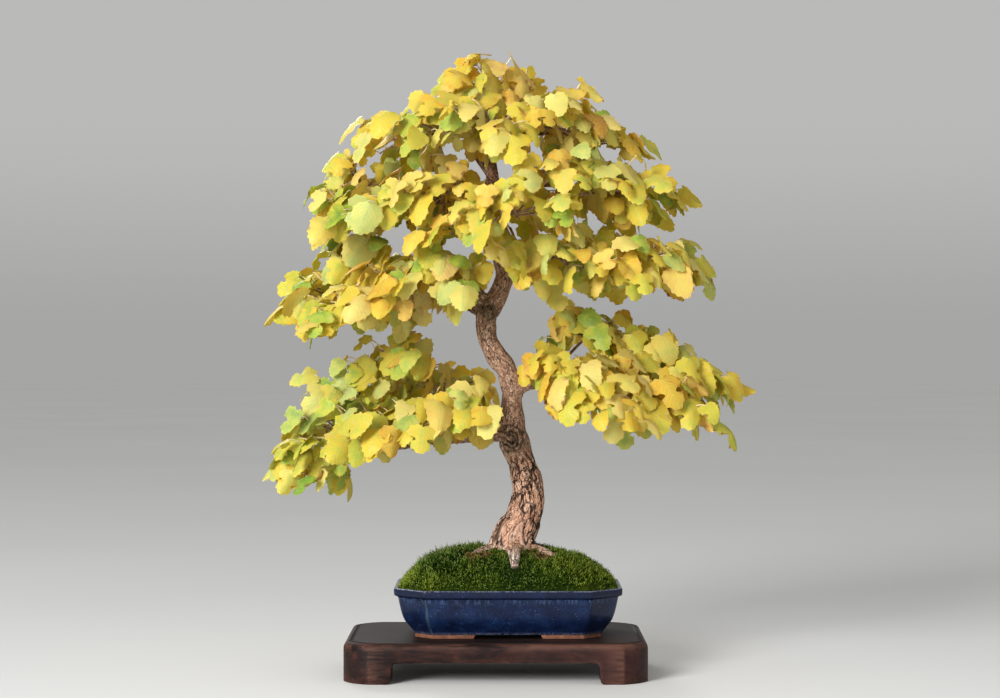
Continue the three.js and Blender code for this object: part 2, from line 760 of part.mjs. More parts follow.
// A path to the end of a twig, from the limb or from the stem
function twigPath(stem, { curve, from }, fromLimb) {
  const { stemRadius, twigRadius, shootRadius } = WOOD;
  const end = { point: curve.getPoint(1), radius: shootRadius };
  if (fromLimb) {
    const radii = [stemRadius, stemRadius, 0.8 * stemRadius];
    return [...radii.map((radius, i) => ({ point: stem.getPoint(i / 2), radius })), end];
  }
  return [{ point: stemPoint(stem, from), radius: twigRadius }, end];
}

function keepPlaced(node, solid) {
  placed.push({ node, box: boxOf(solid), solid });
}

// Stem, twigs and leaves of one spray. The stem runs on into its first twig
// and each twig into the leaf at its end; side leaves spring from the twigs.
// What would cross another spray, another blade or the bare wood is left
// out, and the next one takes its place.
function spraySolid(node, { stem, twigs }, wood) {
  const pieces = [];
  const clear = (leaf, solid) => {
    const near = leaf.base.clone().addScaledVector(leaf.tipWay, 0.5).addScaledVector(leaf.faceWay, 1);
    const blade = leafSolid(leaf, [{ point: near, radius: LEAF.stalkRadius }], BLADE_ROOM);
    return !crosses(blade, placed)
      && !crosses(solid, placed.filter((other) => other.node !== node))
      && wood.intersect(blade).isEmpty();
  };
  const keep = (solid) => {
    pieces.push(solid);
    keepPlaced(node, solid);
  };
  let made = 0;
  for (const k of TWIG_ORDER) {
    if (made === TWIGS_KEPT) {
      break;
    }
    const { leaves } = twigs[k];
    const fromLimb = pieces.length === 0;
    const path = twigPath(stem, twigs[k], fromLimb);
    const whole = leafSolid(leaves[0], path);
    const twig = largestBody(whole.subtract(wood));
    const leastVolume = (fromLimb ? SHOOT_OUTSIDE : 1) * whole.volume() - 0.01;
    if (twig.volume() > leastVolume && clear(leaves[0], twig)) {
      keep(twig);
      made += 1;
      let count = made < TWIGS_KEPT ? 1 : LEAVES_KEPT - pieces.length;
      for (const leaf of leaves.slice(1)) {
        const [start, end] = path.slice(-2).map(({ point }) => point);
        const from = start.clone().lerp(end, leaf.place);
        const side = leafSolid(leaf, [{ point: from, radius: WOOD.sunkRadius }]);
        if (count > 0 && clear(leaf, side) && wood.intersect(side).isEmpty()) {
          keep(side);
          count -= 1;
        }
      }
    }
  }
  return largestBody(pieces.reduce((sum, piece) => sum.add(piece)));
}

// Materials and assembly

const COLOURS = {
  stand: [0x3a1f18, 0.45],
  pot: [0x1e3566, 0.25],
  mesh: [0x2b2b2b, 0.7],
  soil: [0x4a3526, 0.95],
  moss: [0x4f7a22, 0.95],
  wood: [0x9a7260, 0.9],
  leaf: [0xd8c24a, 0.55],
};

function addMesh(group, name, solid, [color, roughness]) {
  const material = new THREE.MeshStandardMaterial({ color, roughness, metalness: 0 });
  const mesh = new THREE.Mesh(geometryOf(solid), material);
  mesh.name = name;
  group.add(mesh);
}

const group = new THREE.Group();
const roomyTree = trunkSolid(GAP + 0.1);

addMesh(group, "stand", standSolid(), COLOURS.stand);
addMesh(group, "pot", potSolid(), COLOURS.pot);
addMesh(group, "drain_mesh_left", drainMeshSolid(-1), COLOURS.mesh);
addMesh(group, "drain_mesh_right", drainMeshSolid(1), COLOURS.mesh);
addMesh(group, "soil", soilSolid(roomyTree), COLOURS.soil);
addMesh(group, "moss", mossSolid(roomyTree), COLOURS.moss);
addMesh(group, "trunk", trunkSolid(), COLOURS.wood);

const limbCounts = {};
const sprays = SPRAYS.map(([limb], index) => {
  limbCounts[limb] = (limbCounts[limb] ?? 0) + 1;
  return { node: `spray_${limb}_${limbCounts[limb]}`, growth: growSpray(index) };
});
for (const { node, growth } of sprays) {
  const { stemRadius } = WOOD;
  const stations = growth.stem.getPoints(3).map(({ x, y, z }) => [x, y, z, 2 * stemRadius]);
  keepPlaced(node, taperedTube(stations, { sides: 4, steps: 3 }));
}
for (const { node, growth } of sprays) {
  addMesh(group, node, spraySolid(node, growth, roomyTree), COLOURS.leaf);
}

// Stand the model with the middle of its box over the origin
const extent = new THREE.Box3().setFromObject(group);
group.position.set(-(extent.min.x + extent.max.x) / 2, -(extent.min.y + extent.max.y) / 2, -extent.min.z);

export default group;
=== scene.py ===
# %% [markdown]
# # A mulberry bonsai in autumn leaf
# This lesson dresses the packed model of a mulberry bonsai: a crown of yellow
# leaves on a bent trunk, moss over the soil, a blue glazed pot and a low
# hardwood stand. The packed model fixes every size and place. Here each part
# gets the finer surface and the finish that the real one shows.

import bpy
import numpy as np
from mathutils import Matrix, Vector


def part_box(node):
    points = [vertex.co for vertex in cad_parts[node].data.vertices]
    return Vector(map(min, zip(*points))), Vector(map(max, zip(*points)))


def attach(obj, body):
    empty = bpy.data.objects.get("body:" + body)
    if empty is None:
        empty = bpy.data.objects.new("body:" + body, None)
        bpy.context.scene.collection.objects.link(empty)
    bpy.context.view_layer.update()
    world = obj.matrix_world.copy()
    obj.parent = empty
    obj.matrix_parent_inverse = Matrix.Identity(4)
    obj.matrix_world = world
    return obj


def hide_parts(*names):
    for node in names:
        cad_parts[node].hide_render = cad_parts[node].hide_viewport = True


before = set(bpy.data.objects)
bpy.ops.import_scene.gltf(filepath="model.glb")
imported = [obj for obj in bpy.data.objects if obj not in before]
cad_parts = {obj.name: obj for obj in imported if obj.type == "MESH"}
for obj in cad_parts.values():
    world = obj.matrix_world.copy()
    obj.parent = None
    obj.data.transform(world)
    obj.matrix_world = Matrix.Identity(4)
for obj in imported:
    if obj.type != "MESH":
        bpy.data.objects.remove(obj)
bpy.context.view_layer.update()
print(len(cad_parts), "packed nodes")

# %% [markdown]
# ## Measures
# All shapes below are laid out in millimetres round the middle of the pot,
# with the floor at zero and the front towards minus Y. The packed model keeps
# the pot a little off the origin, so the pot's own box says how far to move.

# %% Millimetres round the pot's middle
MM = 0.001
UP = np.array([0.0, 0.0, 1.0])

pot_low, pot_high = (np.array(corner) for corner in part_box("pot"))
MIDDLE = np.array([(pot_low[0] + pot_high[0]) / 2, (pot_low[1] + pot_high[1]) / 2, 0])

GAP = 0.3
STAND = {"width": 414, "depth": 264, "height": 55, "x": -17, "underside": 29, "leg": (65, 60)}
POT = {"width": 314, "depth": 220, "corner": 42, "foot": 6, "height": 68, "wall": 7}
POT_BASE = STAND["height"] + GAP
POT_UNDER = POT_BASE + POT["foot"]
POT_RIM = POT_BASE + POT["height"]
print("pot's middle, m:", MIDDLE.round(4))

# %% [markdown]
# ## The camera first
# The picture was taken level, from the height of the middle of the tree and
# from nearly five times its width away, with a short telephoto lens. A level
# camera keeps the pot's corners upright. The picture is 1000 by 698 pixels.

# %% Camera
CAMERA = np.array([-11.2, -3290.0, 451.5])
SENSOR = 36.0
FOCAL_PIXELS = 2350
PICTURE_WIDTH = 1000

lens = bpy.data.cameras.new("camera")
lens.sensor_width = SENSOR
lens.lens = FOCAL_PIXELS / PICTURE_WIDTH * SENSOR
lens.clip_end = 100
camera = bpy.data.objects.new("camera", lens)
camera.location = CAMERA * MM + MIDDLE
camera.rotation_euler = (np.pi / 2, 0, 0)
bpy.context.collection.objects.link(camera)
bpy.context.scene.camera = camera
print("lens", round(lens.lens, 1), "mm")

# %% [markdown]
# ## From arrays to a mesh
# A piece is worked out as whole arrays of points and faces. One function puts
# them into a mesh, moves the millimetres to the frame's metres, and lets the
# piece ride on the body of the packed model.

# %% Meshes from arrays
tally = {}


def add_piece(name, points, faces, looks, picks=None, uv=None, values=None):
    """Makes an object from rows of points in millimetres and from arrays of faces.

    picks holds the number of a look for each face; uv and values hold a row for each point.
    """
    mesh = bpy.data.meshes.new(name)
    corners = np.concatenate([part.ravel() for part in faces]).astype(np.int32)
    counts = np.concatenate([np.full(len(part), part.shape[1]) for part in faces])
    starts = np.concatenate([[0], np.cumsum(counts)[:-1]]).astype(np.int32)
    mesh.vertices.add(len(points))
    mesh.vertices.foreach_set("co", (points * MM + MIDDLE).astype(np.float32).ravel())
    mesh.loops.add(len(corners))
    mesh.loops.foreach_set("vertex_index", corners)
    mesh.polygons.add(len(counts))
    mesh.polygons.foreach_set("loop_start", starts)
    mesh.polygons.foreach_set("use_smooth", np.ones(len(counts), bool))
    if picks is not None:
        mesh.polygons.foreach_set("material_index", picks.astype(np.int32))
    mesh.update(calc_edges=True)
    if uv is not None:
        layer = mesh.uv_layers.new(name="UVMap")
        layer.uv.foreach_set("vector", uv[corners].astype(np.float32).ravel())
    for label, rows in (values or {}).items():
        kind, field = ("FLOAT_VECTOR", "vector") if rows.ndim == 2 else ("FLOAT", "value")
        store = mesh.attributes.new(label, kind, "POINT")
        store.data.foreach_set(field, rows.astype(np.float32).ravel())
    for look in looks:
        mesh.materials.append(look)
    piece = bpy.data.objects.new(name, mesh)
    bpy.context.collection.objects.link(piece)
    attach(piece, "root")
    tally[name] = int((counts - 2).sum())
    return piece


print("one unit of the arrays is", MM, "m")


# %% Small helpers for arrays
def grid_faces(rows, columns, closed=False):
    """Four-cornered faces between the neighbours of a grid.

    closed joins the last column to the first.
    """
    row, column = np.meshgrid(
        np.arange(rows - 1), np.arange(columns if closed else columns - 1), indexing="ij"
    )
    here = row * columns + column
    beside = row * columns + (column + 1) % columns
    return np.stack([here, beside, beside + columns, here + columns], axis=-1).reshape(-1, 4)


def unit(rows):
    """Rows of vectors divided by their lengths."""
    return rows / np.maximum(np.linalg.norm(rows, axis=-1, keepdims=True), 1e-9)


def step(low, high, value):
    """Smooth rise from 0 at low to 1 at high."""
    part = np.clip((value - low) / (high - low), 0, 1)
    return part * part * (3 - 2 * part)


def bell(value, width):
    """A bell curve: 1 at zero, and 1/e at a distance of one width."""
    return np.exp(-((value / width) ** 2))


print("a grid of 3 by 3 points has", len(grid_faces(3, 3)), "faces")

# %% [markdown]
# ## Noise
# Bark, moss and leaves are never even. Two kinds of noise give them their
# form: soft noise, which blends random values on a grid, and cracks, which
# measure how near a point is to the border between random cells.

# %% Soft noise and cracks
WORD = 0xFFFFFFFF


def hashed(cells, seed):
    """A random number from 0 to 1 for each row of three whole numbers."""
    x, y, z = (cells[..., i].astype(np.int64) for i in range(3))
    mixed = (x * 374761393 + y * 668265263 + z * 1440662683 + seed * 974634777) & WORD
    mixed = ((mixed ^ (mixed >> 13)) * 1274126177) & WORD
    mixed = ((mixed ^ (mixed >> 16)) * 2246822519) & WORD
    return (mixed ^ (mixed >> 15)) / WORD


def noise(points, seed=0):
    """Soft noise from -1 to 1: the random values at the eight corners round a point, blended."""
    cell = np.floor(points)
    part = points - cell
    part = part * part * (3 - 2 * part)
    total = 0
    for corner in np.ndindex(2, 2, 2):
        weight = np.prod(np.where(np.array(corner) == 1, part, 1 - part), axis=-1)
        total = total + weight * hashed(cell + np.array(corner), seed)
    return 2 * total - 1


def cracks(points, seed=0):
    """Distance to the border between random cells, and a random number for each cell."""
    cell = np.floor(points)
    near = np.full(points.shape[:-1], 9.0)
    second = near.copy()
    mark = np.zeros(points.shape[:-1])
    for offset in np.ndindex(3, 3, 3):
        place = cell + np.array(offset) - 1
        jitter = np.stack([hashed(place, seed + 7 * i) for i in (1, 2, 3)], axis=-1)
        distance = np.linalg.norm(place + jitter - points, axis=-1)
        closer = distance < near
        second = np.where(closer, near, np.minimum(second, distance))
        mark = np.where(closer, hashed(place, seed + 40), mark)
        near = np.where(closer, distance, near)
    return second - near, mark


print("soft noise at one place:", noise(np.array([0.3, 0.6, 0.9])).round(3))

# %% [markdown]
# ## Tubes
# Trunk, limbs, roots, twigs and leaf stalks are all profiles carried along a
# path. The two directions across the path are carried on from ring to ring
# without twist, so that the surface never wrings itself.

# %% Profiles along a path
def smooth_curve(stations, places):
    """Curve through stations, for places from 0 to 1 along it.

    At each station its slope is half the step between the two neighbours.
    """
    rows = np.array(stations, float)
    rows = np.vstack([2 * rows[0] - rows[1], rows, 2 * rows[-1] - rows[-2]])
    along = np.asarray(places) * (len(stations) - 1)
    index = np.minimum(np.floor(along).astype(int), len(stations) - 2)
    part = (along - index)[:, None]
    before, first, second, after = (rows[index + i] for i in range(4))
    slope_in, slope_out = (second - before) / 2, (after - first) / 2
    change = second - first
    return (
        first
        + slope_in * part
        + (3 * change - 2 * slope_in - slope_out) * part**2
        + (slope_in + slope_out - 2 * change) * part**3
    )


def arc_lengths(points):
    """Length of the path up to each of its points: the steps between them, summed."""
    return np.concatenate([[0], np.cumsum(np.linalg.norm(np.diff(points, axis=0), axis=1))])


def even_places(stations, spacing):
    """Places along the curve through stations that lie about the same distance apart."""
    fine = np.linspace(0, 1, 40 * len(stations))
    length = arc_lengths(smooth_curve(stations, fine)[:, :3])
    count = max(4, int(length[-1] / spacing) + 1)
    wanted = np.linspace(0, length[-1], count)
    return np.interp(wanted, length, fine), wanted


def carried_frames(paths):
    """Directions across many paths at once: each is the one before, made square to the path."""
    way = unit(np.gradient(paths, axis=1))
    start = np.where(np.abs(way[:, :1, 2:]) > 0.9, [[[0.0, -1.0, 0.0]]], UP)
    across = np.empty_like(paths)
    last = start[:, 0]
    for i in range(paths.shape[1]):
        square = last - (last * way[:, i]).sum(-1, keepdims=True) * way[:, i]
        across[:, i] = last = unit(square)
    return across, np.cross(way, across)


def ring_ways(across, beside, sides):
    """Ways from a path out to the points of its rings, cosine across and sine beside it."""
    angle = np.arange(sides) / sides * 2 * np.pi
    cosine, sine = np.cos(angle)[:, None], np.sin(angle)[:, None]
    return cosine * across[..., None, :] + sine * beside[..., None, :], angle


def tube_faces(count, rings, sides, first=0):
    """Faces of many closed tubes, whose points are rings in turn and then two end points each."""
    one = rings * sides
    starts = first + np.arange(count)[:, None, None] * (one + 2)
    body = (grid_faces(rings, sides, closed=True)[None] + starts).reshape(-1, 4)
    turn = np.arange(sides)
    low = np.stack([np.full(sides, one), (turn + 1) % sides, turn], axis=-1)
    last = (rings - 1) * sides
    high = np.stack([np.full(sides, one + 1), last + turn, last + (turn + 1) % sides], axis=-1)
    caps = (np.concatenate([low, high])[None] + starts).reshape(-1, 3)
    return body, caps


def tube_points(paths, radii, sides):
    """Points of many tubes: rings of radius r round each path, then both ends of the path."""
    ring, _ = ring_ways(*carried_frames(paths), sides)
    rings = paths[:, :, None] + ring * radii[:, :, None, None]
    ends = paths[:, [0, -1]]
    return np.concatenate([rings.reshape(len(paths), -1, 3), ends], axis=1)


print("10 mm in steps of 2 mm:", even_places([(0, 0, 0), (0, 0, 10)], 2)[1])


# %% Several tubes in one mesh
def joined_tubes(tubes):
    """Points and faces of closed tubes, each given as rings of points and its two end points."""
    points, quads, caps, first = [], [], [], 0
    for rings, ends in tubes:
        body, lids = tube_faces(1, *rings.shape[:2], first)
        points += [rings.reshape(-1, 3), ends]
        quads.append(body)
        caps.append(lids)
        first += rings.shape[0] * rings.shape[1] + 2
    return np.concatenate(points), [np.concatenate(quads), np.concatenate(caps)]


print("a tube of 3 rings of 4 has", sum(map(len, tube_faces(1, 3, 4))), "faces")

# %% [markdown]
# ## The plan of the tree
# The trunk, the limbs, the roots and the leafy sprays follow the same tables
# of measured points as the packed model: x, y, z and thickness.

# %% Tables of the tree
TRUNK = [
    (7, 0, 124, 60), (7, 0, 150, 78), (7, 0, 170, 74), (10, 0, 192, 60), (20, 2, 211, 52),
    (27, 4, 237, 46), (27, 6, 264, 43), (20, 8, 290, 39), (8, 8, 328, 42), (5, 6, 362, 30),
    (5, 4, 382, 28), (6, 2, 395, 28), (-3, 0, 425, 30), (-15, -2, 440, 30), (-26, -4, 460, 28),
    (-30, -6, 474, 27), (-31, -6, 490, 28), (-28, -6, 506, 34), (-16, -6, 523, 26),
    (-8, -8, 541, 26), (-4, -8, 559, 25), (-12, -8, 580, 22), (-20, -8, 600, 20),
    (-31, -8, 631, 20), (-28, -6, 653, 20), (-22, -6, 685, 18), (-25, -6, 720, 14),
    (-30, -6, 760, 10),
]

ROOTS = [
    [(8, -20, 172, 25), (9, -45, 171, 20), (9, -64, 164, 16), (9, -77, 152, 11)],
    [(18, -8, 172, 24), (38, -20, 173, 14), (56, -32, 168, 10), (66, -40, 158, 8)],
    [(-4, -6, 172, 24), (-25, -18, 173, 13), (-42, -32, 168, 10), (-56, -44, 157, 8)],
    [(0, 15, 172, 20), (-24, 34, 171, 13), (-42, 52, 160, 8)],
    [(20, 15, 172, 20), (45, 32, 170, 12), (62, 46, 158, 8)],
]

LIMBS = {
    "low_left": [
        (5, 6, 330, 26), (-30, -2, 334, 22), (-75, -12, 328, 18), (-130, -18, 322, 14),
        (-190, -20, 308, 10), (-234, -18, 294, 7),
    ],
    "low_left_back": [(2, 8, 345, 16), (-45, 45, 356, 12), (-100, 85, 358, 9), (-145, 100, 354, 6)],
    "low_right": [
        (6, 3, 392, 20), (35, -6, 404, 16), (85, -12, 406, 13), (150, -16, 400, 10),
        (212, -16, 386, 7),
    ],
    "low_right_back": [(4, 4, 408, 14), (55, 50, 424, 10), (110, 90, 428, 8), (150, 100, 422, 6)],
    "mid_left": [
        (-28, -6, 512, 22), (-60, -10, 540, 18), (-110, -12, 548, 14), (-175, -14, 542, 10),
        (-230, -14, 528, 7),
    ],
    "mid_left_back": [
        (-30, 0, 498, 14), (-75, 50, 520, 10), (-125, 95, 528, 8), (-168, 112, 522, 6),
    ],
    "mid_right": [
        (-5, -8, 566, 17), (28, -12, 568, 15), (52, -8, 580, 13), (100, -10, 584, 11),
        (150, -12, 574, 9), (200, -12, 556, 7),
    ],
    "mid_right_back": [(-6, -4, 560, 13), (45, 50, 580, 10), (95, 95, 588, 8), (142, 116, 578, 6)],
    "upper_left": [
        (-20, -8, 606, 16), (-70, -14, 640, 13), (-135, -16, 652, 10), (-192, -14, 650, 7),
    ],
    "upper_right": [
        (-29, -6, 645, 15), (10, -12, 676, 12), (60, -12, 682, 10), (110, -12, 672, 8),
        (150, -12, 656, 6),
    ],
    "upper_front": [(-26, -10, 625, 13), (-18, -55, 648, 10), (0, -102, 652, 7)],
    "upper_back": [(-28, -4, 636, 13), (-25, 50, 655, 10), (-20, 105, 655, 7)],
    "apex_left": [(-23, -6, 695, 12), (-60, -12, 735, 9), (-108, -14, 752, 6)],
    "apex_right": [(-25, -6, 715, 11), (20, -10, 748, 8), (74, -12, 755, 6)],
    "apex_front": [(-26, -8, 725, 9), (-22, -32, 758, 7), (-16, -52, 768, 5)],
    "apex_back": [(-27, -4, 735, 9), (-30, 26, 766, 7), (-26, 48, 776, 5)],
    "leader": [(-27, -6, 735, 10), (-31, -6, 760, 9), (-35, -6, 782, 6)],
}

# Sprays of each limb: place along it, centre x, y, z, and half widths across, deep and high
SPRAYS = {
    "low_left": [
        (0.26, -70, -75, 354, 50, 50, 34), (0.43, -118, -84, 343, 56, 50, 40),
        (0.62, -178, -78, 335, 58, 50, 40), (0.86, -232, -62, 329, 52, 50, 34),
        (1.00, -275, -14, 280, 33, 46, 28), (0.74, -212, 30, 374, 55, 50, 34),
    ],
    "low_left_back": [
        (0.40, -163, 20, 430, 52, 48, 30), (1.00, -184, 118, 365, 56, 50, 34),
        (0.62, -95, 120, 380, 56, 50, 34),
    ],
    "low_right": [
        (0.31, 84, -76, 412, 42, 45, 28), (0.46, 136, -92, 377, 54, 50, 42),
        (0.78, 172, -78, 370, 52, 50, 42), (0.94, 212, -62, 363, 48, 50, 38),
        (1.00, 241, -14, 399, 40, 44, 32), (0.86, 190, 38, 440, 54, 50, 34),
    ],
    "low_right_back": [(0.45, 118, 48, 472, 50, 46, 28), (1.00, 188, 122, 410, 54, 50, 34)],
    "mid_left": [
        (0.33, -94, -85, 541, 48, 50, 38), (0.58, -138, -88, 530, 58, 50, 40),
        (0.82, -192, -75, 502, 56, 50, 40), (0.95, -230, -50, 498, 48, 50, 38),
        (1.00, -254, 10, 520, 40, 46, 34), (0.88, -205, 30, 574, 54, 50, 36),
    ],
    "mid_left_back": [(1.00, -206, 128, 518, 54, 50, 36), (0.55, -105, 112, 548, 56, 50, 36)],
    "mid_right": [
        (0.42, 85, -84, 562, 52, 50, 38), (0.66, 142, -82, 564, 56, 50, 38),
        (0.88, 188, -62, 556, 52, 50, 36), (1.00, 211, -5, 563, 42, 46, 34),
    ],
    "mid_right_back": [(1.00, 176, 134, 562, 54, 50, 36), (0.55, 72, 112, 582, 56, 50, 36)],
    "upper_left": [
        (0.40, -92, -92, 650, 54, 50, 42), (0.73, -150, -84, 640, 56, 50, 42),
        (0.95, -198, -52, 632, 48, 50, 38), (1.00, -201, 15, 676, 44, 48, 42),
    ],
    "upper_front": [(1.00, 12, -145, 625, 58, 50, 40), (0.80, -52, -132, 592, 48, 45, 36)],
    "upper_right": [
        (0.45, 68, -104, 668, 56, 50, 40), (0.80, 132, -84, 661, 56, 50, 42),
        (1.00, 170, -20, 654, 48, 48, 42),
    ],
    "upper_back": [(1.00, -10, 150, 645, 60, 50, 40), (0.75, -95, 104, 655, 56, 50, 40)],
    "apex_left": [(0.80, -98, -72, 747, 54, 50, 46), (1.00, -154, -8, 728, 52, 48, 44)],
    "apex_right": [(0.80, 54, -74, 752, 56, 50, 42), (1.00, 112, -8, 728, 50, 48, 44)],
    "apex_front": [(1.00, -20, -90, 747, 56, 50, 42)],
    "apex_back": [(1.00, 46, 84, 787, 56, 50, 40)],
    "leader": [(1.00, -30, -4, 812, 34, 40, 34)],
}
print(len(LIMBS), "limbs", sum(map(len, SPRAYS.values())), "sprays")

# %% [markdown]
# ## Writing materials as sums
# A material is a small sum over every point of a surface. The class Wire
# stands for one socket, and Python's own signs on it add the Math nodes.
# Every other node comes from the one method of Look.

# %% Colours and wires
def linear(code):
    """The light that a colour code such as 'd8c24a' stands for, as red, green, blue and 1."""
    shades = np.array([int(code[i : i + 2], 16) for i in (0, 2, 4)]) / 255
    light = np.where(shades <= 0.04045, shades / 12.92, ((shades + 0.055) / 1.055) ** 2.4)
    return (*map(float, light), 1.0)


def sign(operation, flipped=False):
    """A method of Wire that adds a Math node; flipped puts the other value first."""

    def method(self, *other):
        values = (*other, self) if flipped else (self, *other)
        return self.look.node("ShaderNodeMath", {"operation": operation}, dict(enumerate(values)))

    return method


class Wire:
    """A socket's value. A sign between wires or numbers adds a Math node."""

    def __init__(self, look, socket):
        self.look, self.socket = look, socket

    __add__ = __radd__ = sign("ADD")
    __mul__ = __rmul__ = sign("MULTIPLY")
    __sub__, __rsub__ = sign("SUBTRACT"), sign("SUBTRACT", flipped=True)
    __truediv__, __abs__ = sign("DIVIDE"), sign("ABSOLUTE")
    most, fraction = sign("MAXIMUM"), sign("FRACT")

    def rise(self, low, high):
        """Smooth rise from 0 at low to 1 at high, or a fall if high is the smaller."""
        flip = high < low
        ends = {1: min(low, high), 2: max(low, high), 3: float(flip), 4: float(not flip)}
        settings = {"interpolation_type": "SMOOTHSTEP", "clamp": True}
        return self.look.node("ShaderNodeMapRange", settings, {0: self, **ends})


print("the light of mid grey:", np.round(linear("808080")[0], 3))


# %% Looks
class Look:
    """A material in the making."""

    def __init__(self, name):
        self.material = bpy.data.materials.new(name)
        self.material.use_nodes = True
        self.tree = self.material.node_tree
        self.tree.nodes.clear()

    def node(self, kind, settings=None, sockets=None, output=0):
        """Adds a node: its settings first, then values or wires of its sockets.

        Gives back one output, or a list of them where output is a list.
        """
        made = self.tree.nodes.new(kind)
        for key, value in (settings or {}).items():
            if key == "stops":
                ramp = made.color_ramp
                while len(ramp.elements) < len(value):
                    ramp.elements.new(0.5)
                for element, (place, code) in zip(ramp.elements, value):
                    element.position, element.color = place, linear(code)
            else:
                setattr(made, key, value)
        for key, value in (sockets or {}).items():
            if isinstance(value, Wire):
                self.tree.links.new(value.socket, made.inputs[key])
            else:
                made.inputs[key].default_value = value
        if isinstance(output, list):
            return [Wire(self, made.outputs[key]) for key in output]
        return Wire(self, made.outputs[output])

    def place(self, scale=(1, 1, 1)):
        """Object coordinates, in metres, stretched by scale."""
        spot = self.node("ShaderNodeTexCoord", output="Object")
        return self.node("ShaderNodeMapping", None, {"Vector": spot, "Scale": scale})

    def apart(self, vector):
        """The three numbers of a vector."""
        return self.node("ShaderNodeSeparateXYZ", None, {0: vector}, output=[0, 1, 2])

    def value(self, label):
        """A number kept for each point of the mesh."""
        return self.node("ShaderNodeAttribute", {"attribute_name": label}, output="Fac")

    def values(self, label):
        """Three numbers kept for each point of the mesh."""
        spot = self.node("ShaderNodeAttribute", {"attribute_name": label}, output="Vector")
        return self.apart(spot)

    def speckle(self, place, scale, detail=3.0, roughness=0.55, warp=0.0):
        """Soft noise round one half, with scale bumps to the metre."""
        sockets = {"Vector": place, "Scale": scale, "Detail": detail, "Roughness": roughness}
        sockets["Distortion"] = warp
        return self.node("ShaderNodeTexNoise", None, sockets, output="Fac")

    def cells(self, place, scale, feature="F1", output="Distance"):
        """Distance to the nearest of many random points, or to the edge between two of them."""
        sockets = {"Vector": place, "Scale": scale}
        return self.node("ShaderNodeTexVoronoi", {"feature": feature}, sockets, output=output)

    def shifted(self, place, scale, reach):
        """Places moved a little, each by the colour of soft noise less one half, times reach."""
        sockets = {"Vector": place, "Scale": scale}
        cloud = self.node("ShaderNodeTexNoise", None, sockets, output="Color")
        maths, half = "ShaderNodeVectorMath", (0.5, 0.5, 0.5)
        cloud = self.node(maths, {"operation": "SUBTRACT"}, {0: cloud, 1: half})
        cloud = self.node(maths, {"operation": "SCALE"}, {0: cloud, "Scale": reach})
        return self.node(maths, {"operation": "ADD"}, {0: place, 1: cloud})

    def ramp(self, value, *stops):
        """Colours at their stops, blended between them by value."""
        return self.node("ShaderNodeValToRGB", {"stops": stops}, {0: value})

    def mix(self, share, first, second, blend="MIX"):
        """Blends two colours; codes stand for plain ones."""
        pair = [linear(shade) if isinstance(shade, str) else shade for shade in (first, second)]
        settings = {"data_type": "RGBA", "blend_type": blend, "clamp_result": True}
        return self.node("ShaderNodeMix", settings, {0: share, 6: pair[0], 7: pair[1]}, output=2)

    def over(self, colour, *coats):
        """Lays coats over a colour in turn, each given as its share and its own colour."""
        for share, coat in coats:
            colour = self.mix(share, colour, coat)
        return colour

    def bump(self, height, depth, distance=0.001):
        """Small relief: depth is its strength, distance its full height in metres."""
        sockets = {"Strength": depth, "Distance": distance, "Height": height}
        return self.node("ShaderNodeBump", None, sockets)

    def shader(self, **sockets):
        """A Principled shader; names are written with _ for their spaces."""
        named = {key.replace("_", " "): value for key, value in sockets.items()}
        return self.node("ShaderNodeBsdfPrincipled", None, named)

    def done(self, surface):
        """Joins the finished shader to the output and gives back the material."""
        output = self.tree.nodes.new("ShaderNodeOutputMaterial")
        self.tree.links.new(surface.socket, output.inputs["Surface"])
        print("look:", self.material.name, "with", len(self.tree.nodes), "nodes")
        return self.material

    def finish(self, colour, roughness, **sockets):
        """The material with one Principled shader of this colour and roughness."""
        return self.done(self.shader(Base_Color=colour, Roughness=roughness, **sockets))


print("methods of a look:", [name for name in vars(Look) if not name.startswith("_")])

# %% [markdown]
# ## How a spray grows
# The packed model grows its sprays by a seeded rule, and these cells follow
# the same rule and the same random draws. A stem arches from the limb to the
# middle of the spray, twigs leave it all round, and each twig carries four
# leaves. The packed model keeps a few of the leaves. All of them grow here,
# and three more twigs with draws of their own fill the sides of each spray.

# %% The growth rule
PACKED_TWIGS, SIDE_TWIGS = 6, 3
TWIGS = PACKED_TWIGS + SIDE_TWIGS
LEAVES_PER_TWIG = 4
GOLDEN_TURN = np.radians(137.5)
STEM_ARCH, TWIG_ARCH = 0.12, 0.15
LEAF_STEP = 0.18
STALK_LENGTH, STALK_PLAY = 18, 12
LEAF_LENGTH, LENGTH_PLAY = 27, 21
ROLL_PLAY = np.radians(100)
CROWN_X = -10


def random_draws(seed):
    """The packed model's own row of random numbers from 0 to 1."""
    state = seed
    while True:
        state = (state + 0x6D2B79F5) & WORD
        mixed = ((state ^ (state >> 15)) * (1 | state)) & WORD
        mixed = ((mixed + ((mixed ^ (mixed >> 7)) * (61 | mixed))) & WORD) ^ mixed
        yield ((mixed ^ (mixed >> 14)) & WORD) / 2**32


def bezier(start, bend, end, places):
    """Curve drawn from start to end towards bend; places are rows of numbers from 0 to 1."""
    part = np.asarray(places)[..., None]
    return (1 - part) ** 2 * start + 2 * part * (1 - part) * bend + part**2 * end


def turned(rows, axes, angles):
    """Rows of vectors square to their axes, turned about them."""
    return rows * np.cos(angles)[:, None] + np.cross(axes, rows) * np.sin(angles)[:, None]


print("first draws of seed 1000:", [round(draw, 3) for draw, _ in zip(random_draws(1000), "abc")])


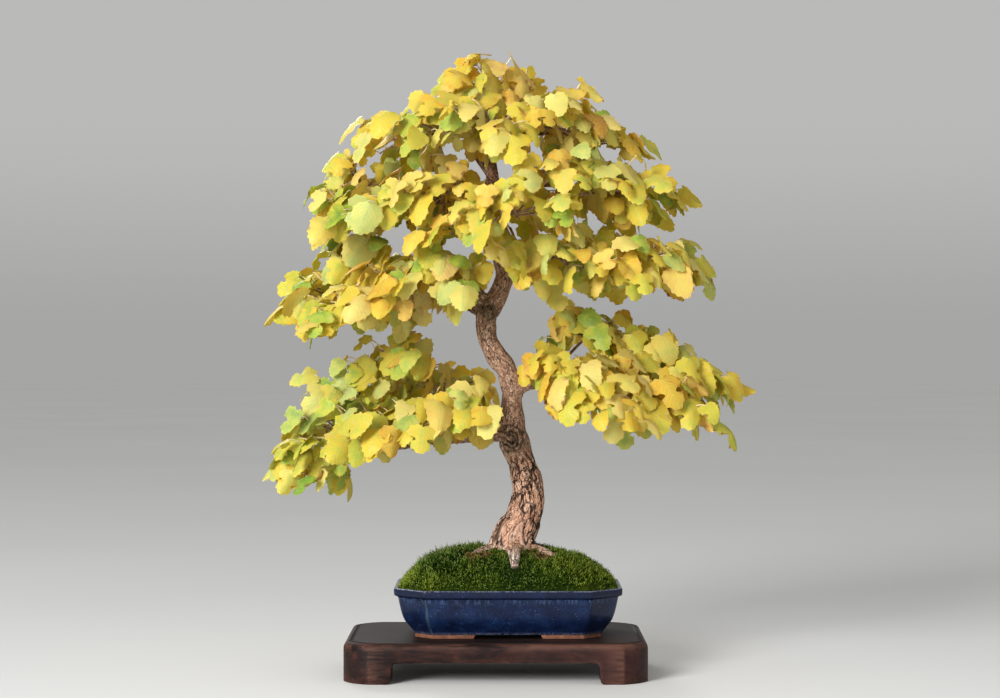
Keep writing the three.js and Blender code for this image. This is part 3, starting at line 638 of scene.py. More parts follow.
# %% Stem and twigs
def grow_spray(limb, index, row):
    """Stem, twigs and the draws for the leaves of one spray.

    The stem arches from the limb to the centre. Twig k turns by k golden turns, and its tip
    lies on the ellipsoid of the half widths, a little in or out.
    """
    place, *numbers = row
    centre, half = np.array(numbers[:3], float), np.array(numbers[3:], float)
    draw = random_draws(1000 + 17 * index)
    root = smooth_curve(LIMBS[limb], [place])[0, :3]
    arch = (root + centre) / 2 + STEM_ARCH * np.linalg.norm(centre - root) * UP
    stem = (root, arch, centre)
    twigs, draws = [], []
    for k in range(TWIGS):
        if k == PACKED_TWIGS:
            draw = iter(np.random.default_rng(400 + index).random(500))
        turn = k * GOLDEN_TURN + 1.57 * next(draw) + index
        layer = (k % PACKED_TWIGS) * (PACKED_TWIGS / SIDE_TWIGS if k >= PACKED_TWIGS else 1)
        rise = -0.3 + 1.25 * (layer + 0.5) / PACKED_TWIGS
        spread = np.sqrt(1 - rise * rise)
        reach = 0.85 + 0.3 * next(draw)
        tip = centre + reach * half * (spread * np.cos(turn), spread * np.sin(turn), rise)
        start = bezier(*stem, 0.55 + 0.45 * next(draw))
        bend = (start + tip) / 2 + TWIG_ARCH * np.linalg.norm(tip - start) * UP
        twigs.append((start, bend, tip))
        draws.append([[next(draw) for _ in range(6)] for _ in range(LEAVES_PER_TWIG)])
    return {
        "stem": np.array(stem), "twigs": np.array(twigs), "draws": np.array(draws),
        "centre": centre, "half": half,
    }


sprays = {}
rows = [(limb, number, row) for limb in SPRAYS for number, row in enumerate(SPRAYS[limb], 1)]
for index, (limb, number, row) in enumerate(rows):
    sprays[f"{limb}_{number}"] = grow_spray(limb, index, row)
print(len(sprays), "sprays of", TWIGS, "twigs")


# %% Places of the leaves
def grow_leaves(spray):
    """Place, ways and size of each leaf of a spray.

    Leaves stand by turns on both sides of the twig, turn away from the crown's axis and
    droop, and face out of the spray and up, turned about the midrib by chance.
    """
    order = np.arange(LEAVES_PER_TWIG)
    start, bend, tip = (spray["twigs"][:, None, i] for i in range(3))
    root = bezier(start, bend, tip, 1 - LEAF_STEP * order[None]).reshape(-1, 3)
    out = np.repeat(unit(tip - start), LEAVES_PER_TWIG, axis=1).reshape(-1, 3)
    side = unit(np.cross(out, UP))
    share = np.tile(np.where(order == 0, -0.15, (order % 2) * 2 - 1), TWIGS)[:, None]
    stalk_draw, length_draw, roll_draw, droop_draw, lift_draw, form_draw = (
        spray["draws"].reshape(-1, 6)[:, i, None] for i in range(6)
    )
    shell = unit((root - spray["centre"]) / spray["half"])
    away = unit((root - (CROWN_X, 0, 0)) * (1, 1, 0))
    stalk = unit(0.6 * out + 0.9 * share * side + 0.5 * shell + (0.1 + 0.3 * lift_draw) * UP)
    base = root + stalk * (STALK_LENGTH + STALK_PLAY * stalk_draw)
    tip_way = unit(0.35 * stalk + 0.35 * away + (-0.45 - droop_draw) * UP)
    face = 0.8 * shell + 0.7 * UP + 0.25 * away + (0, -0.25, 0)
    face = unit(face - (face * tip_way).sum(-1, keepdims=True) * tip_way)
    face = turned(face, tip_way, ROLL_PLAY * (roll_draw[:, 0] - 0.5))
    return {
        "root": root, "base": base, "tip": tip_way, "face": face,
        "side": np.cross(face, tip_way),
        "length": LEAF_LENGTH + LENGTH_PLAY * length_draw[:, 0] ** 1.3,
        "form": np.minimum(2, np.floor(3.6 * form_draw[:, 0] ** 2 + 0.2)).astype(int),
    }


leaves = {name: grow_leaves(spray) for name, spray in sprays.items()}
print(sum(len(leaf["base"]) for leaf in leaves.values()), "leaves")

# %% [markdown]
# ## One blade
# Mulberry bears plain heart-shaped blades and lobed ones on the same twig,
# both with coarse teeth. A half outline runs from the stalk to the tip, and
# every second point on it is drawn out to a tooth. The blade is laid out in
# five lanes from rim to rim, and only the two rims keep every point, so that
# a closed blade with sharp teeth has no more than 64 faces.

# %% Blade outlines
PLAIN = [
    (-0.05, 0.05), (-0.09, 0.16), (-0.07, 0.30), (0.03, 0.41), (0.18, 0.46), (0.33, 0.44),
    (0.44, 0.37), (0.56, 0.37), (0.74, 0.30), (0.90, 0.15), (0.985, 0.015),
]
LOBED = [
    (-0.05, 0.05), (-0.10, 0.18), (-0.06, 0.36), (0.08, 0.50), (0.26, 0.51), (0.37, 0.36),
    (0.41, 0.17), (0.51, 0.22), (0.62, 0.34), (0.78, 0.31), (0.92, 0.16), (0.985, 0.015),
]
TEETH = 8
RIM_POINTS = 2 * TEETH + 1
LANES = np.array([-1, -0.5, 0, 0.5, 1])
TOOTH = 0.036


def half_outline(stations):
    """Points evenly spaced along the half outline, every second one drawn out to a tooth."""
    fine = smooth_curve(stations, np.linspace(0, 1, 200))
    length = arc_lengths(fine)
    wanted = np.linspace(0, length[-1], RIM_POINTS)
    points = np.stack([np.interp(wanted, length, fine[:, i]) for i in (0, 1)], axis=-1)
    way = unit(np.gradient(points, axis=0))
    outward = np.stack([-way[:, 1], way[:, 0]], axis=-1)
    tooth = np.where(np.arange(RIM_POINTS) % 2 == 1, TOOTH, -0.4 * TOOTH)[:, None]
    tooth[[0, -1]] = 0
    return points + tooth * (outward + 0.5 * way)


def flat_blade(left, right):
    """Places along and across a flat blade of length 1, for each rim point and lane.

    A lane lies at its share of the way from the midrib to the rim.
    """
    midrib = np.stack([np.linspace(0, 1, RIM_POINTS) ** 1.2, np.zeros(RIM_POINTS)], axis=-1)
    lanes = []
    for lane in LANES:
        edge = half_outline(left if lane < 0 else right) * (1, np.sign(lane))
        lanes.append(midrib + abs(lane) * (edge - midrib) if lane else midrib)
    return np.stack(lanes, axis=1)


FORMS = (PLAIN, PLAIN), (LOBED, PLAIN), (LOBED, LOBED)
FLAT_BLADES = np.array([flat_blade(left, right) for left, right in FORMS])
print("flat blades:", FLAT_BLADES.shape)

# %% Faces of a blade
row, lane = np.meshgrid(np.arange(RIM_POINTS), np.arange(len(LANES)), indexing="ij")
USED = (row % 2 == 0) | (lane % 4 == 0)
ON_RIM = ((row % (RIM_POINTS - 1) == 0) | (lane % 4 == 0))[USED]
NEAR_RIM = np.abs(LANES)[lane[USED]]
number = np.cumsum(USED).reshape(USED.shape) - 1
low, high = number[:-2:2], number[2::2]
INNER_FACES = np.concatenate([
    np.stack([low[:, i], low[:, i + 1], high[:, i + 1], high[:, i]], axis=-1) for i in (1, 2)
])
RIM_FACES = np.concatenate([
    np.stack([number[1::2, 0], low[:, 0], low[:, 1], high[:, 1], high[:, 0]], axis=-1),
    np.stack([low[:, 3], low[:, 4], number[1::2, 4], high[:, 4], high[:, 3]], axis=-1),
])
print("a sheet has", USED.sum(), "points and", len(INNER_FACES) + len(RIM_FACES), "faces")

# %% [markdown]
# ## Bending the blades
# No leaf hangs flat. Each one folds along its midrib, arches from stalk to
# tip, rolls its rim and ripples. Random numbers with a fixed seed set how
# much. All leaves of a spray are bent at once. The under sheet is the upper
# one moved in by the blade's thickness, and both share the rim.

# %% Bent blades
THICK = 0.55
# The least of each kind of bending and its play, in lengths of the leaf
FOLD, ARCH, DROOP, ROLL, RIPPLE = (
    (0.08, 0.44), (-0.06, 0.24), (-0.15, 0.60), (-0.12, 0.36), (0.015, 0.050)
)
HALF_WIDTH = 0.45
SWAY = 0.22


def bent_blades(grown, chance):
    """Blades in place: across the leaf, along it, and out of its face.

    The height over the flat blade is the sum of a fold with the distance from the midrib,
    an arch along the blade, a droop of its tip, a rolled rim and a ripple along the rim.
    """
    one = chance.random((len(grown["base"]), 8))[:, :, None, None]
    flat = FLAT_BLADES[grown["form"]]
    along, across = flat[..., 0], flat[..., 1]
    wide = np.abs(across)
    edge = wide / HALF_WIDTH
    rise = -(FOLD[0] + FOLD[1] * one[:, 0]) * wide
    rise = rise + (ARCH[0] + ARCH[1] * one[:, 1]) * 4 * along * (1 - along)
    rise = rise - (DROOP[0] + DROOP[1] * one[:, 2]) * np.maximum(0, along - 0.5) ** 2
    rise = rise + (ROLL[0] + ROLL[1] * one[:, 3] ** 2) * edge**2.5 * HALF_WIDTH
    waves = along * (1.5 + one[:, 4]) + one[:, 5]
    ripple = np.sin(2 * np.pi * waves + 1.5 * np.sign(across))
    rise = rise + (RIPPLE[0] + RIPPLE[1] * one[:, 6]) * ripple * edge**2
    across = across + (one[:, 7] - 0.5) * SWAY * along**2
    ways = (grown[way][:, None, None] for way in ("side", "tip", "face"))
    reach = sum(part[..., None] * way for part, way in zip((across, along, rise), ways))
    return grown["base"][:, None, None] + grown["length"][:, None, None, None] * reach


print("bent blades:", bent_blades(leaves["leader_1"], np.random.default_rng(0)).shape)


# %% Closed blades of a spray
# The blade reaches this far behind its stalk, in lengths of the leaf
LEAF_BASE = 0.12


def blades(grown, chance):
    """Points, faces, looks and marks of all closed blades of a spray.

    Under each upper point that isn't on the rim lies one at THICK against its normal.
    """
    grid = bent_blades(grown, chance)
    count = len(grid)
    normal = unit(np.cross(np.gradient(grid, axis=1), np.gradient(grid, axis=2)))[:, USED]
    top = grid[:, USED]
    points = np.concatenate([top, (top - THICK * normal)[:, ~ON_RIM]], axis=1)
    below = np.arange(len(ON_RIM))
    below[~ON_RIM] = len(ON_RIM) + np.arange((~ON_RIM).sum())
    starts = np.arange(count)[:, None, None] * points.shape[1]
    faces, picks = [], []
    for sheet in (RIM_FACES, INNER_FACES):
        both = np.concatenate([sheet[:, ::-1], below[sheet]])
        faces.append((both[None] + starts).reshape(-1, sheet.shape[1]))
        picks.append(np.tile(np.repeat([0, 1], len(sheet)), count))
    flat = FLAT_BLADES[grown["form"]][:, USED]
    spots = np.stack([flat[..., 1] + 0.5, (flat[..., 0] + LEAF_BASE) / (1 + LEAF_BASE)], axis=-1)
    spots = np.concatenate([spots, spots[:, ~ON_RIM]], axis=1).reshape(-1, 2)
    nearness = np.tile(np.concatenate([NEAR_RIM, NEAR_RIM[~ON_RIM]]), count)
    rim = np.tile(np.concatenate([ON_RIM, np.zeros((~ON_RIM).sum(), bool)]), count)
    return points.reshape(-1, 3), faces, picks, spots, nearness, rim


trial = blades(leaves["low_left_1"], np.random.default_rng(0))
print("points of one blade:", len(trial[0]) // len(leaves["low_left_1"]["base"]))

# %% [markdown]
# ## The colours of the leaves
# Autumn takes the green out of a mulberry leaf from its rim inwards, so most
# blades are yellow, some still lime along their veins, and a few have gone
# gold or brown at their teeth. Three numbers kept with each leaf choose its
# hue, its age and its own noise. Blades let light through, so a translucent
# shader is mixed in. The underside is duller, and its veins stand out.

# %% Veins on a blade
VEIN_SPACING, VEIN_SLANT = 0.15, 0.85


def leaf_veins(across, along):
    """1 on the midrib and on the side veins, which run out from it at a slant."""
    lane = abs(((along - across * VEIN_SLANT) / VEIN_SPACING).fraction() - 0.5)
    side_veins = lane.rise(0.13, 0.0) * across.rise(0.44, 0.26)
    return side_veins.most(across.rise(0.016, 0.004))


print("side veins stand", VEIN_SPACING, "of a leaf's length apart")


# %% Leaf looks
def leaf_look(name, hues, shine, relief):
    """Colour from hue, age and veins, with a pale coat of painted sheen; relief is positive where
    the veins are sunk.
    """
    look = Look(name)
    hue, age, seed = look.values("leaf")
    across, along, _ = look.apart(look.node("ShaderNodeUVMap", {"uv_map": "UVMap"}))
    across = abs(across - 0.5)
    along = along * (1 + LEAF_BASE) - LEAF_BASE
    veins = leaf_veins(across, along)
    spot = {0: across * 5.0, 1: along * 5.0, 2: seed * 40.0}
    own = look.node("ShaderNodeCombineXYZ", None, spot)
    mottle = look.speckle(own, 0.55, detail=2.0)
    grain = look.speckle(own, 5.0, detail=2.0)
    rim = look.value("rim")
    colour = look.ramp(hue + (mottle - 0.5) * 0.62 + rim * 0.08 - veins * 0.07, *hues)
    colour = look.over(
        colour,
        # Painted sheen: a pale coat in fine grain, stronger on some leaves at random, stands in for
        # the gloss of leaves in the light.
        (grain.rise(0.40, 0.75) * 0.16 + seed.rise(0.45, 1.0) * 0.42, "f6f2b2"),
        (veins * 0.35, "f1ecae"),
        ((age + (mottle - 0.5) * 1.1 + rim * 0.40).rise(1.32, 1.50) * 0.8, "94602a"),
        (grain.rise(0.70, 0.74) * age.rise(0.45, 0.9) * 0.7, "7a4d20"),
    )
    bump = look.bump(grain * 0.35 - veins * relief, 0.5, distance=0.0006)
    skin = look.shader(Base_Color=colour, Roughness=shine, Normal=bump, Specular_IOR_Level=0.24)
    through = look.mix(0.55, colour, "fff250", blend="MULTIPLY")
    glow = look.node("ShaderNodeBsdfTranslucent", None, {"Color": through, "Normal": bump})
    return look.done(look.node("ShaderNodeMixShader", None, {0: 0.45, 1: skin, 2: glow}))


UPPER_HUES = [
    (0.0, "7fb03c"), (0.20, "b8cf46"), (0.40, "e2dc4e"), (0.60, "f0da4a"), (0.80, "efc741"),
    (1.0, "d89a38"),
]
UNDER_HUES = [
    (0.0, "93b058"), (0.20, "c2cd62"), (0.40, "e0da68"), (0.60, "efdb66"), (0.80, "e9c252"),
    (1.0, "c89444"),
]
leaf_top = leaf_look("leaf upper side", UPPER_HUES, shine=0.40, relief=1.0)
leaf_under = leaf_look("leaf underside", UNDER_HUES, shine=0.55, relief=-1.0)


# %% Stalk and twig looks
def plain_wood(name, stops, scale, roughness, depth):
    """Woody skin: noise picks the shade, and finer noise makes the relief."""
    look = Look(name)
    spot = look.place((1, 1, 0.6))
    shade = look.speckle(spot, scale, detail=4.0)
    pores = look.speckle(spot, scale * 5, detail=2.0)
    colour = look.ramp(shade * 0.75 + pores * 0.25, *stops)
    bump = look.bump(pores + shade, depth, distance=0.0008)
    return look.finish(colour, roughness, Normal=bump)


stalk_look = plain_wood(
    "leaf stalk", [(0.3, "cba37c"), (0.5, "e8d6a4"), (0.7, "e9c9b0")], 60, 0.5, 0.2
)
twig_look = plain_wood(
    "twig bark", [(0.3, "634a3b"), (0.5, "9c7c63"), (0.7, "c6a98d")], 120, 0.8, 0.6
)

# %% [markdown]
# ## Twigs and stalks
# Twigs swell a little where a leaf stands. Stalks are thin and pale, leave
# the twig in the leaf's own direction and bend over into the midrib.

# %% Paths of the wood
STEM_RINGS, TWIG_RINGS, STALK_RINGS = 14, 12, 6
STEM_SIDES, TWIG_SIDES, STALK_SIDES = 8, 5, 4
NODE_WIDTH, NODE_SWELL = 0.035, 0.35


def stem_and_twigs(spray):
    """Paths and radii: the stem thins towards the middle of the spray, a twig towards its tip."""
    part = np.linspace(0, 1, STEM_RINGS)
    stem = bezier(*spray["stem"], part)[None]
    stem_radii = (2.7 - 1.1 * part)[None]
    part = np.linspace(0, 1, TWIG_RINGS)
    start, bend, tip = (spray["twigs"][:, None, i] for i in range(3))
    twigs = bezier(start, bend, tip, part[None])
    nodes = 1 - LEAF_STEP * np.arange(LEAVES_PER_TWIG)
    swell = bell(part[:, None] - nodes, NODE_WIDTH).sum(1)
    twig_radii = np.tile((1.55 - 0.6 * part) * (1 + NODE_SWELL * swell), (TWIGS, 1))
    return (stem, stem_radii), (twigs, twig_radii)


def stalk_paths(grown):
    """From the twig along the stalk's way, bent over where it meets the blade."""
    part = np.linspace(0, 1, STALK_RINGS)
    root, base = grown["root"][:, None], grown["base"][:, None]
    reach = np.linalg.norm(base - root, axis=-1, keepdims=True)
    bend = root + 0.62 * (base - root) + 0.16 * reach * UP
    paths = bezier(root, bend, base, part[None])
    return paths, np.tile(0.9 - 0.25 * part**2, (len(base), 1))


def spray_wood(spray, grown, first):
    """Points, faces and looks of stalks, twigs and stem, which follow the blades' points."""
    stem, twigs = stem_and_twigs(spray)
    points, quads, caps, quad_looks, cap_looks = [], [], [], [], []
    for (paths, radii), sides, look in (
        (stalk_paths(grown), STALK_SIDES, 2), (twigs, TWIG_SIDES, 3), (stem, STEM_SIDES, 3),
    ):
        rows = tube_points(paths, radii, sides)
        body, ends = tube_faces(len(paths), paths.shape[1], sides, first)
        points.append(rows.reshape(-1, 3))
        quads.append(body)
        caps.append(ends)
        quad_looks.append(np.full(len(body), look))
        cap_looks.append(np.full(len(ends), look))
        first += rows.shape[0] * rows.shape[1]
    faces = [np.concatenate(quads), np.concatenate(caps)]
    return np.concatenate(points), faces, quad_looks + cap_looks


print("points of a spray's wood:", len(spray_wood(sprays["leader_1"], leaves["leader_1"], 0)[0]))


# %% [markdown]
# ## Dressing the sprays
# On the real tree leaves of one spray turn colour together, but each at its
# own pace. The hue follows the leaf's place in the crown, with chance added.
# Blades, stalks and twigs of a spray make one piece.

# %% Hues of the leaves
def leaf_hues(grown, chance):
    """Hue of each leaf: lime low on the left, gold deep inside, and chance."""
    x, y, z = grown["base"].T
    lime = 0.13 * step(-60, -230, x) * step(560, 400, z)
    deep = 0.08 * step(150, 40, np.hypot(x - CROWN_X, y))
    drift = 0.10 * noise(grown["base"] / 55, 5)
    hue = 0.46 - lime + deep + drift + 0.13 * chance.standard_normal(len(x))
    green = chance.random(len(x)) < 0.05
    return np.clip(np.where(green, 0.16, hue), 0.05, 0.97)


trial = leaf_hues(leaves["leader_1"], np.random.default_rng(0))
print("hues of a spray:", trial.min().round(2), "to", trial.max().round(2))


# %% Sprays
def sharpen(mesh, flags):
    """Keeps the shading apart on the two sides of every edge between flagged points."""
    ends = np.empty(2 * len(mesh.edges), np.int32)
    mesh.edges.foreach_get("vertices", ends)
    store = mesh.attributes.new("sharp_edge", "BOOLEAN", "EDGE")
    store.data.foreach_set("value", flags[ends.reshape(-1, 2)].all(axis=1))


def spray_piece(name, spray, grown, chance):
    """All of one spray in one mesh: blades, stalks, twigs and stem."""
    points, faces, picks, uv, nearness, rim = blades(grown, chance)
    count = len(grown["base"])
    marks = [leaf_hues(grown, chance), chance.random(count), chance.random(count)]
    marks = np.repeat(np.stack(marks, axis=-1), len(points) // count, axis=0)
    wood_points, wood_faces, wood_picks = spray_wood(spray, grown, len(points))
    blank = np.zeros((len(wood_points), 3))
    piece = add_piece(
        f"leafy_{name}",
        np.concatenate([points, wood_points]),
        faces + wood_faces,
        [leaf_top, leaf_under, stalk_look, twig_look],
        picks=np.concatenate(picks + wood_picks),
        uv=np.concatenate([uv, blank[:, :2]]),
        values={
            "leaf": np.concatenate([marks, blank]), "rim": np.concatenate([nearness, blank[:, 0]]),
        },
    )
    sharpen(piece.data, np.concatenate([rim, np.zeros(len(blank), bool)]))
    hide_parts(f"spray_{name}")


chance = np.random.default_rng(11)
for name, spray in sprays.items():
    spray_piece(name, spray, leaves[name], chance)
print("foliage", sum(tally.values()), "triangles")

# %% [markdown]
# ## Bark
# Low on the trunk the bark has split into long plates with dark cracks
# between them. Higher up it is younger: fine flakes and flecks. Two burrs are
# rough and dark, and the lower one holds the healed eye of a cut limb. The
# large plates are real relief, and the smallest flakes are left to the bump.

# %% Bark look
def bark_look():
    """Shades laid out round and up the wood, with thin fissures between small scales."""
    look = Look("mulberry bark")
    crack = look.value("crack")
    dark, pale, young = look.values("zone")
    grain = look.node("ShaderNodeAttribute", {"attribute_name": "grain"}, output="Vector")
    flow = look.node("ShaderNodeMapping", None, {"Vector": grain, "Scale": (1, 1, 0.4)})
    broad = look.speckle(flow, 60, detail=4.0, roughness=0.6, warp=0.4)
    flakes = look.speckle(flow, 240, detail=4.0, roughness=0.7, warp=0.6)
    rough = look.speckle(grain, 420, detail=3.0, roughness=0.7)
    seams = look.cells(look.shifted(flow, 150, 0.006), 190, feature="DISTANCE_TO_EDGE")
    seams = seams.rise(0.07, 0.015) * broad.rise(0.40, 0.56)
    splits = look.cells(look.shifted(flow, 330, 0.007), 84, feature="DISTANCE_TO_EDGE")
    splits = splits.rise(0.080, 0.030) * look.speckle(flow, 45).rise(0.42, 0.50) * (1 - young)
    plain = look.ramp(
        broad * 0.5 + flakes * 0.5,
        (0.32, "845945"), (0.43, "b7886d"), (0.53, "d9ab8f"), (0.66, "f0d3bd"),
    )
    aged = look.ramp(flakes, (0.34, "57443a"), (0.5, "a8886f"), (0.65, "e2cbb2"))
    burr = look.ramp(
        flakes * 0.5 + rough * 0.5, (0.34, "1e160f"), (0.46, "54432f"), (0.60, "9c866a")
    )
    colour = look.over(
        plain,
        (young * 0.6, aged),
        (rough.rise(0.50, 0.39) * 0.75, "402a20"),
        (dark, burr),
        (pale * flakes.rise(0.3, 0.6), "ecd9ca"),
        (seams * 0.85, "2e1d15"),
        # This value also carries painted shade in the scar's furrows and between the burr's knobs,
        # besides the dark of the cracks.
        (crack.most(splits * 0.95), "1a100a"),
    )
    height = flakes + broad * 0.6 + rough * 0.5 - seams * 0.7 - splits * 1.4
    bump = look.bump(height, 0.9, distance=0.0014)
    return look.finish(colour, 0.9, Normal=bump, Specular_IOR_Level=0.2)


bark = bark_look()


# %% [markdown]
# ## Plates of bark
# Trunk, limbs and roots are tubes through their measured stations. Plates and
# cracks are worked out on each tube as if it stood straight, so that a plate
# keeps its size where the trunk bends. A plate is a random cell, taller than
# wide, and a crack runs where two cells meet.

# %% Tubes that carry bark
def bark_tube(stations, spacing, sides):
    """Centres, arc lengths, radii, ring directions and angles of a tube through stations."""
    places, arc = even_places(stations, spacing)
    centre = smooth_curve([row[:3] for row in stations], places)
    steps = np.arange(len(stations)) / (len(stations) - 1)
    radius = np.interp(places, steps, [row[3] / 2 for row in stations])
    ring, angle = ring_ways(*(part[0] for part in carried_frames(centre[None])), sides)
    return centre, arc[:, None], radius[:, None], ring, angle[None]


def straightened(radius, angle, arc):
    """Places on the tube as if it stood upright: round it at its radius, up it by its length."""
    parts = np.broadcast_arrays(radius * np.cos(angle), radius * np.sin(angle), arc)
    return np.stack(parts, axis=-1)


def wavy_grid(grain, size, seed, pace, wave):
    """Places counted in plates of a size across and along, bent by noise of a pace and wave."""
    spot = grain / (size[0], size[0], size[1])
    return spot + wave * np.stack([noise(spot * pace, seed + i) for i in range(3)], axis=-1)


def plates(grain, size, seed):
    """Distance from the cracks between plates, and a random number for each plate."""
    return cracks(wavy_grid(grain, size, seed, 1.3, 0.35), seed)


def fissures(grain, size, seed):
    """Thin long lines where stretched noise passes through zero."""
    return 1 - step(0.015, 0.07, np.abs(noise(wavy_grid(grain, size, seed, 2.1, 0.3), seed + 5)))


TRUNK_SIDES, LIMB_SIDES, ROOT_SIDES = 120, 22, 30
TRUNK_SPACING, LIMB_SPACING, ROOT_SPACING = 1.75, 2.2, 1.6
print("rings of the trunk:", len(bark_tube(TRUNK, TRUNK_SPACING, TRUNK_SIDES)[0]))

# %% Plates and swellings of the trunk
PLATE, FLAKE, FISSURE = (8.5, 24), (4.5, 8), (13, 60)
PLATE_RELIEF, CRACK_DEPTH, WAVE_RELIEF = 1.5, 2.2, 0.6
FLAKE_RELIEF, FLAKE_GAP = 0.8, 0.5
OLD_BARK = (318, 290)


def trunk_swell(z, angle, old):
    """Share by which the radius grows: root flare at the foot, ridges and knots higher up."""
    buttress = 0.05 * np.exp(-np.abs(z - 162) / 13) * np.maximum(0, np.cos(3 * angle + 0.6))
    toes = 0.022 * np.exp(-np.abs(z - 160) / 10) * np.sin(9 * angle + 1.0)
    ridge = 0.045 * np.sin(4 * angle + z / 26) + 0.03 * np.sin(3 * angle - z / 17)
    knots = 0.05 * np.sin(z / 6.5 + 2 * angle)
    return buttress + toes + step(190, 240, z) * (1 - 0.5 * old) * (ridge + knots)


def trunk_plates(grain, old):
    """Relief in millimetres, cracks from 0 to 1, and the random height of each plate.

    Old bark has long plates between deep cracks, young bark has small flakes.
    """
    border, height = plates(grain, PLATE, 3)
    fine_border, fine_height = plates(grain, FLAKE, 5)
    held = step(-0.25, 0.2, noise(grain / (9, 9, 14), 14))
    gap = np.maximum((1 - step(0.02, 0.15, border)) * held, 0.9 * fissures(grain, FISSURE, 51))
    fine_gap = (1 - step(0.02, 0.16, fine_border)) * (1 - 0.7 * held)
    wavy = noise(grain / (5, 5, 9), 61)
    relief = old * (PLATE_RELIEF * (height - 0.5) - CRACK_DEPTH * gap + WAVE_RELIEF * wavy)
    fine_relief = FLAKE_RELIEF * (fine_height - 0.5) - FLAKE_GAP * fine_gap
    relief = relief + (1 - 0.6 * old) * fine_relief
    return relief, np.maximum(old * gap, (1 - old) * 0.5 * fine_gap), height


print("old bark below", OLD_BARK[1], "mm, young bark above", OLD_BARK[0], "mm")

# %% [markdown]
# ## Burrs and the scar
# A burr is a swelling of knobbly bark. Where a limb was cut off, the wood has
# closed over it in folds, which leave a sunk eye in a raised ring. One
# distance from the eye, made uneven by noise, carries ring, eye and folds.

# %% Burrs and the healed scar
SCAR = {"x": 4.5, "z": 326, "ring": 8.0, "fold": 1.15, "reach": 19}
BURRS = [(5, 325, 27), (-27, 503, 21)]


def burrs(spots):
    """How much of a burr lies at each place, and the noise that makes its knobs."""
    rough = sum(
        np.exp(-((spots[..., 0] - x) ** 2 + (spots[..., 2] - z) ** 2) / (0.6 * size) ** 2)
        for x, z, size in BURRS
    )
    knobs = noise(spots / 7, 8) + 0.6 * noise(spots / 3.4, 9)
    return np.clip(rough * 1.3, 0, 1), knobs


def scar(spots, front):
    """Nearness to the scar, its relief, the painted shade in its furrows, and its ridges.

    An uneven distance from its middle gives a raised ring, a sunk eye, and folds like a
    wave that fades outwards.
    """
    away = np.hypot(spots[..., 0] - SCAR["x"], (spots[..., 2] - SCAR["z"]) / 1.15)
    away = away + 2.4 * noise(spots / 7.5, 12) + 1.0 * noise(spots / 3, 13)
    near_eye = front * step(27, 17, away)
    fade = bell(away, SCAR["reach"])
    wave = np.cos((away - SCAR["ring"]) * SCAR["fold"])
    eye = 2.8 * bell(away - SCAR["ring"], 2.4) - 2.2 * bell(away, 4.5)
    # Painted shade: the troughs of the folds are darkened.
    furrow_shade = np.clip(step(0.1, 0.9, -wave) * fade * 1.4, 0, 0.85) * step(2, 4, away)
    return near_eye, near_eye * (eye + 1.3 * wave * fade), near_eye * furrow_shade, step(-0.1, 0.8, wave)


print(len(BURRS), "burrs; scar at", SCAR["z"], "mm")


# %% Shape of the trunk
def trunk_shape():
    """Rings of the trunk, with the values of its bark: cracks with painted shade, dark, pale and
    young.

    Radius times one plus the swell, plus the relief of the plates, and then out along each
    ring by the knobs of the burrs and by the scar.
    """
    centre, arc, radius, ring, angle = bark_tube(TRUNK, TRUNK_SPACING, TRUNK_SIDES)
    z = centre[:, None, 2]
    old = step(*OLD_BARK, z)
    grain = straightened(np.minimum(radius, 30), angle, arc)
    relief, crack, height = trunk_plates(grain, old)
    reach = radius * (1 + trunk_swell(z, angle, old)) + relief
    spots = centre[:, None] + ring * reach[..., None]
    rough, knobs = burrs(spots)
    near_eye, eye, furrow_shade, ridges = scar(spots, step(0.0, 0.5, -ring[..., 1]))
    spots = spots + ring * (2.1 * rough * knobs * (1 - 0.8 * near_eye) + eye)[..., None]
    # Painted shade: the scar's furrows and the hollows between the burr's knobs are darkened like
    # the cracks.
    crack = np.maximum(crack * (1 - near_eye), furrow_shade)
    crack = np.maximum(crack, 0.7 * rough * (1 - near_eye) * step(-0.25, -0.8, knobs))
    dark = np.clip(0.95 * step(0.2, 0.7, rough + 0.25 * knobs), 0, 1)
    dark = dark * (1 - 0.6 * near_eye * ridges)
    pale = 0.45 * step(225, 170, spots[..., 2]) * step(0.3, 0.8, height)
    zone = np.stack(np.broadcast_arrays(crack, dark, pale, (1 - old) * 0.75), axis=-1)
    return spots, zone, centre, grain


tubes = [trunk_shape()]
print("trunk", tubes[0][0].shape)


# %% Shape of limbs and roots
def limb_shape(stations, seed, sides, spacing, age=1.0, pale=0.0, knots=0.10, lumps=0.8):
    """Rings of a limb or root, with the values of its bark.

    Its radius has a collar where it leaves the trunk, and soft swellings along it; fine
    flakes and lumps lie all over it.
    """
    centre, arc, radius, ring, angle = bark_tube(stations, spacing, sides)
    row = np.stack([arc / 17, np.zeros_like(arc), np.full_like(arc, seed)], axis=-1)
    swell = noise(row, seed)
    reach = radius * (1 + 0.30 * np.exp(-arc / 9) + knots * swell)
    grain = straightened(radius, angle, arc + 100 * seed)
    border, height = plates(grain, (4.2, 7), seed)
    gap = 1 - step(0.02, 0.20, border)
    spots = centre[:, None] + ring * reach[..., None]
    uneven = noise(spots / 6, seed) * np.clip(radius / 9, 0.25, 1.3)
    spots = spots + ring * (0.55 * (height - 0.5) - 0.35 * gap + lumps * uneven)[..., None]
    end = step(0.3, 0.8, arc / arc[-1]) * pale
    zone = np.broadcast_arrays(0.5 * gap, 0.55 * step(0.2, 0.8, swell), end, age)
    return spots, np.stack(zone, axis=-1), centre, grain


for number, stations in enumerate(LIMBS.values()):
    tubes.append(limb_shape(stations, 20 + number, LIMB_SIDES, LIMB_SPACING))
for number, stations in enumerate(ROOTS):
    age, pale = (0.2, 1.0) if number == 0 else (0.9, 0.15)
    tubes.append(limb_shape(stations, 60 + number, ROOT_SIDES, ROOT_SPACING, age, pale, 0.28, 1.7))
print(len(tubes), "tubes of bark")

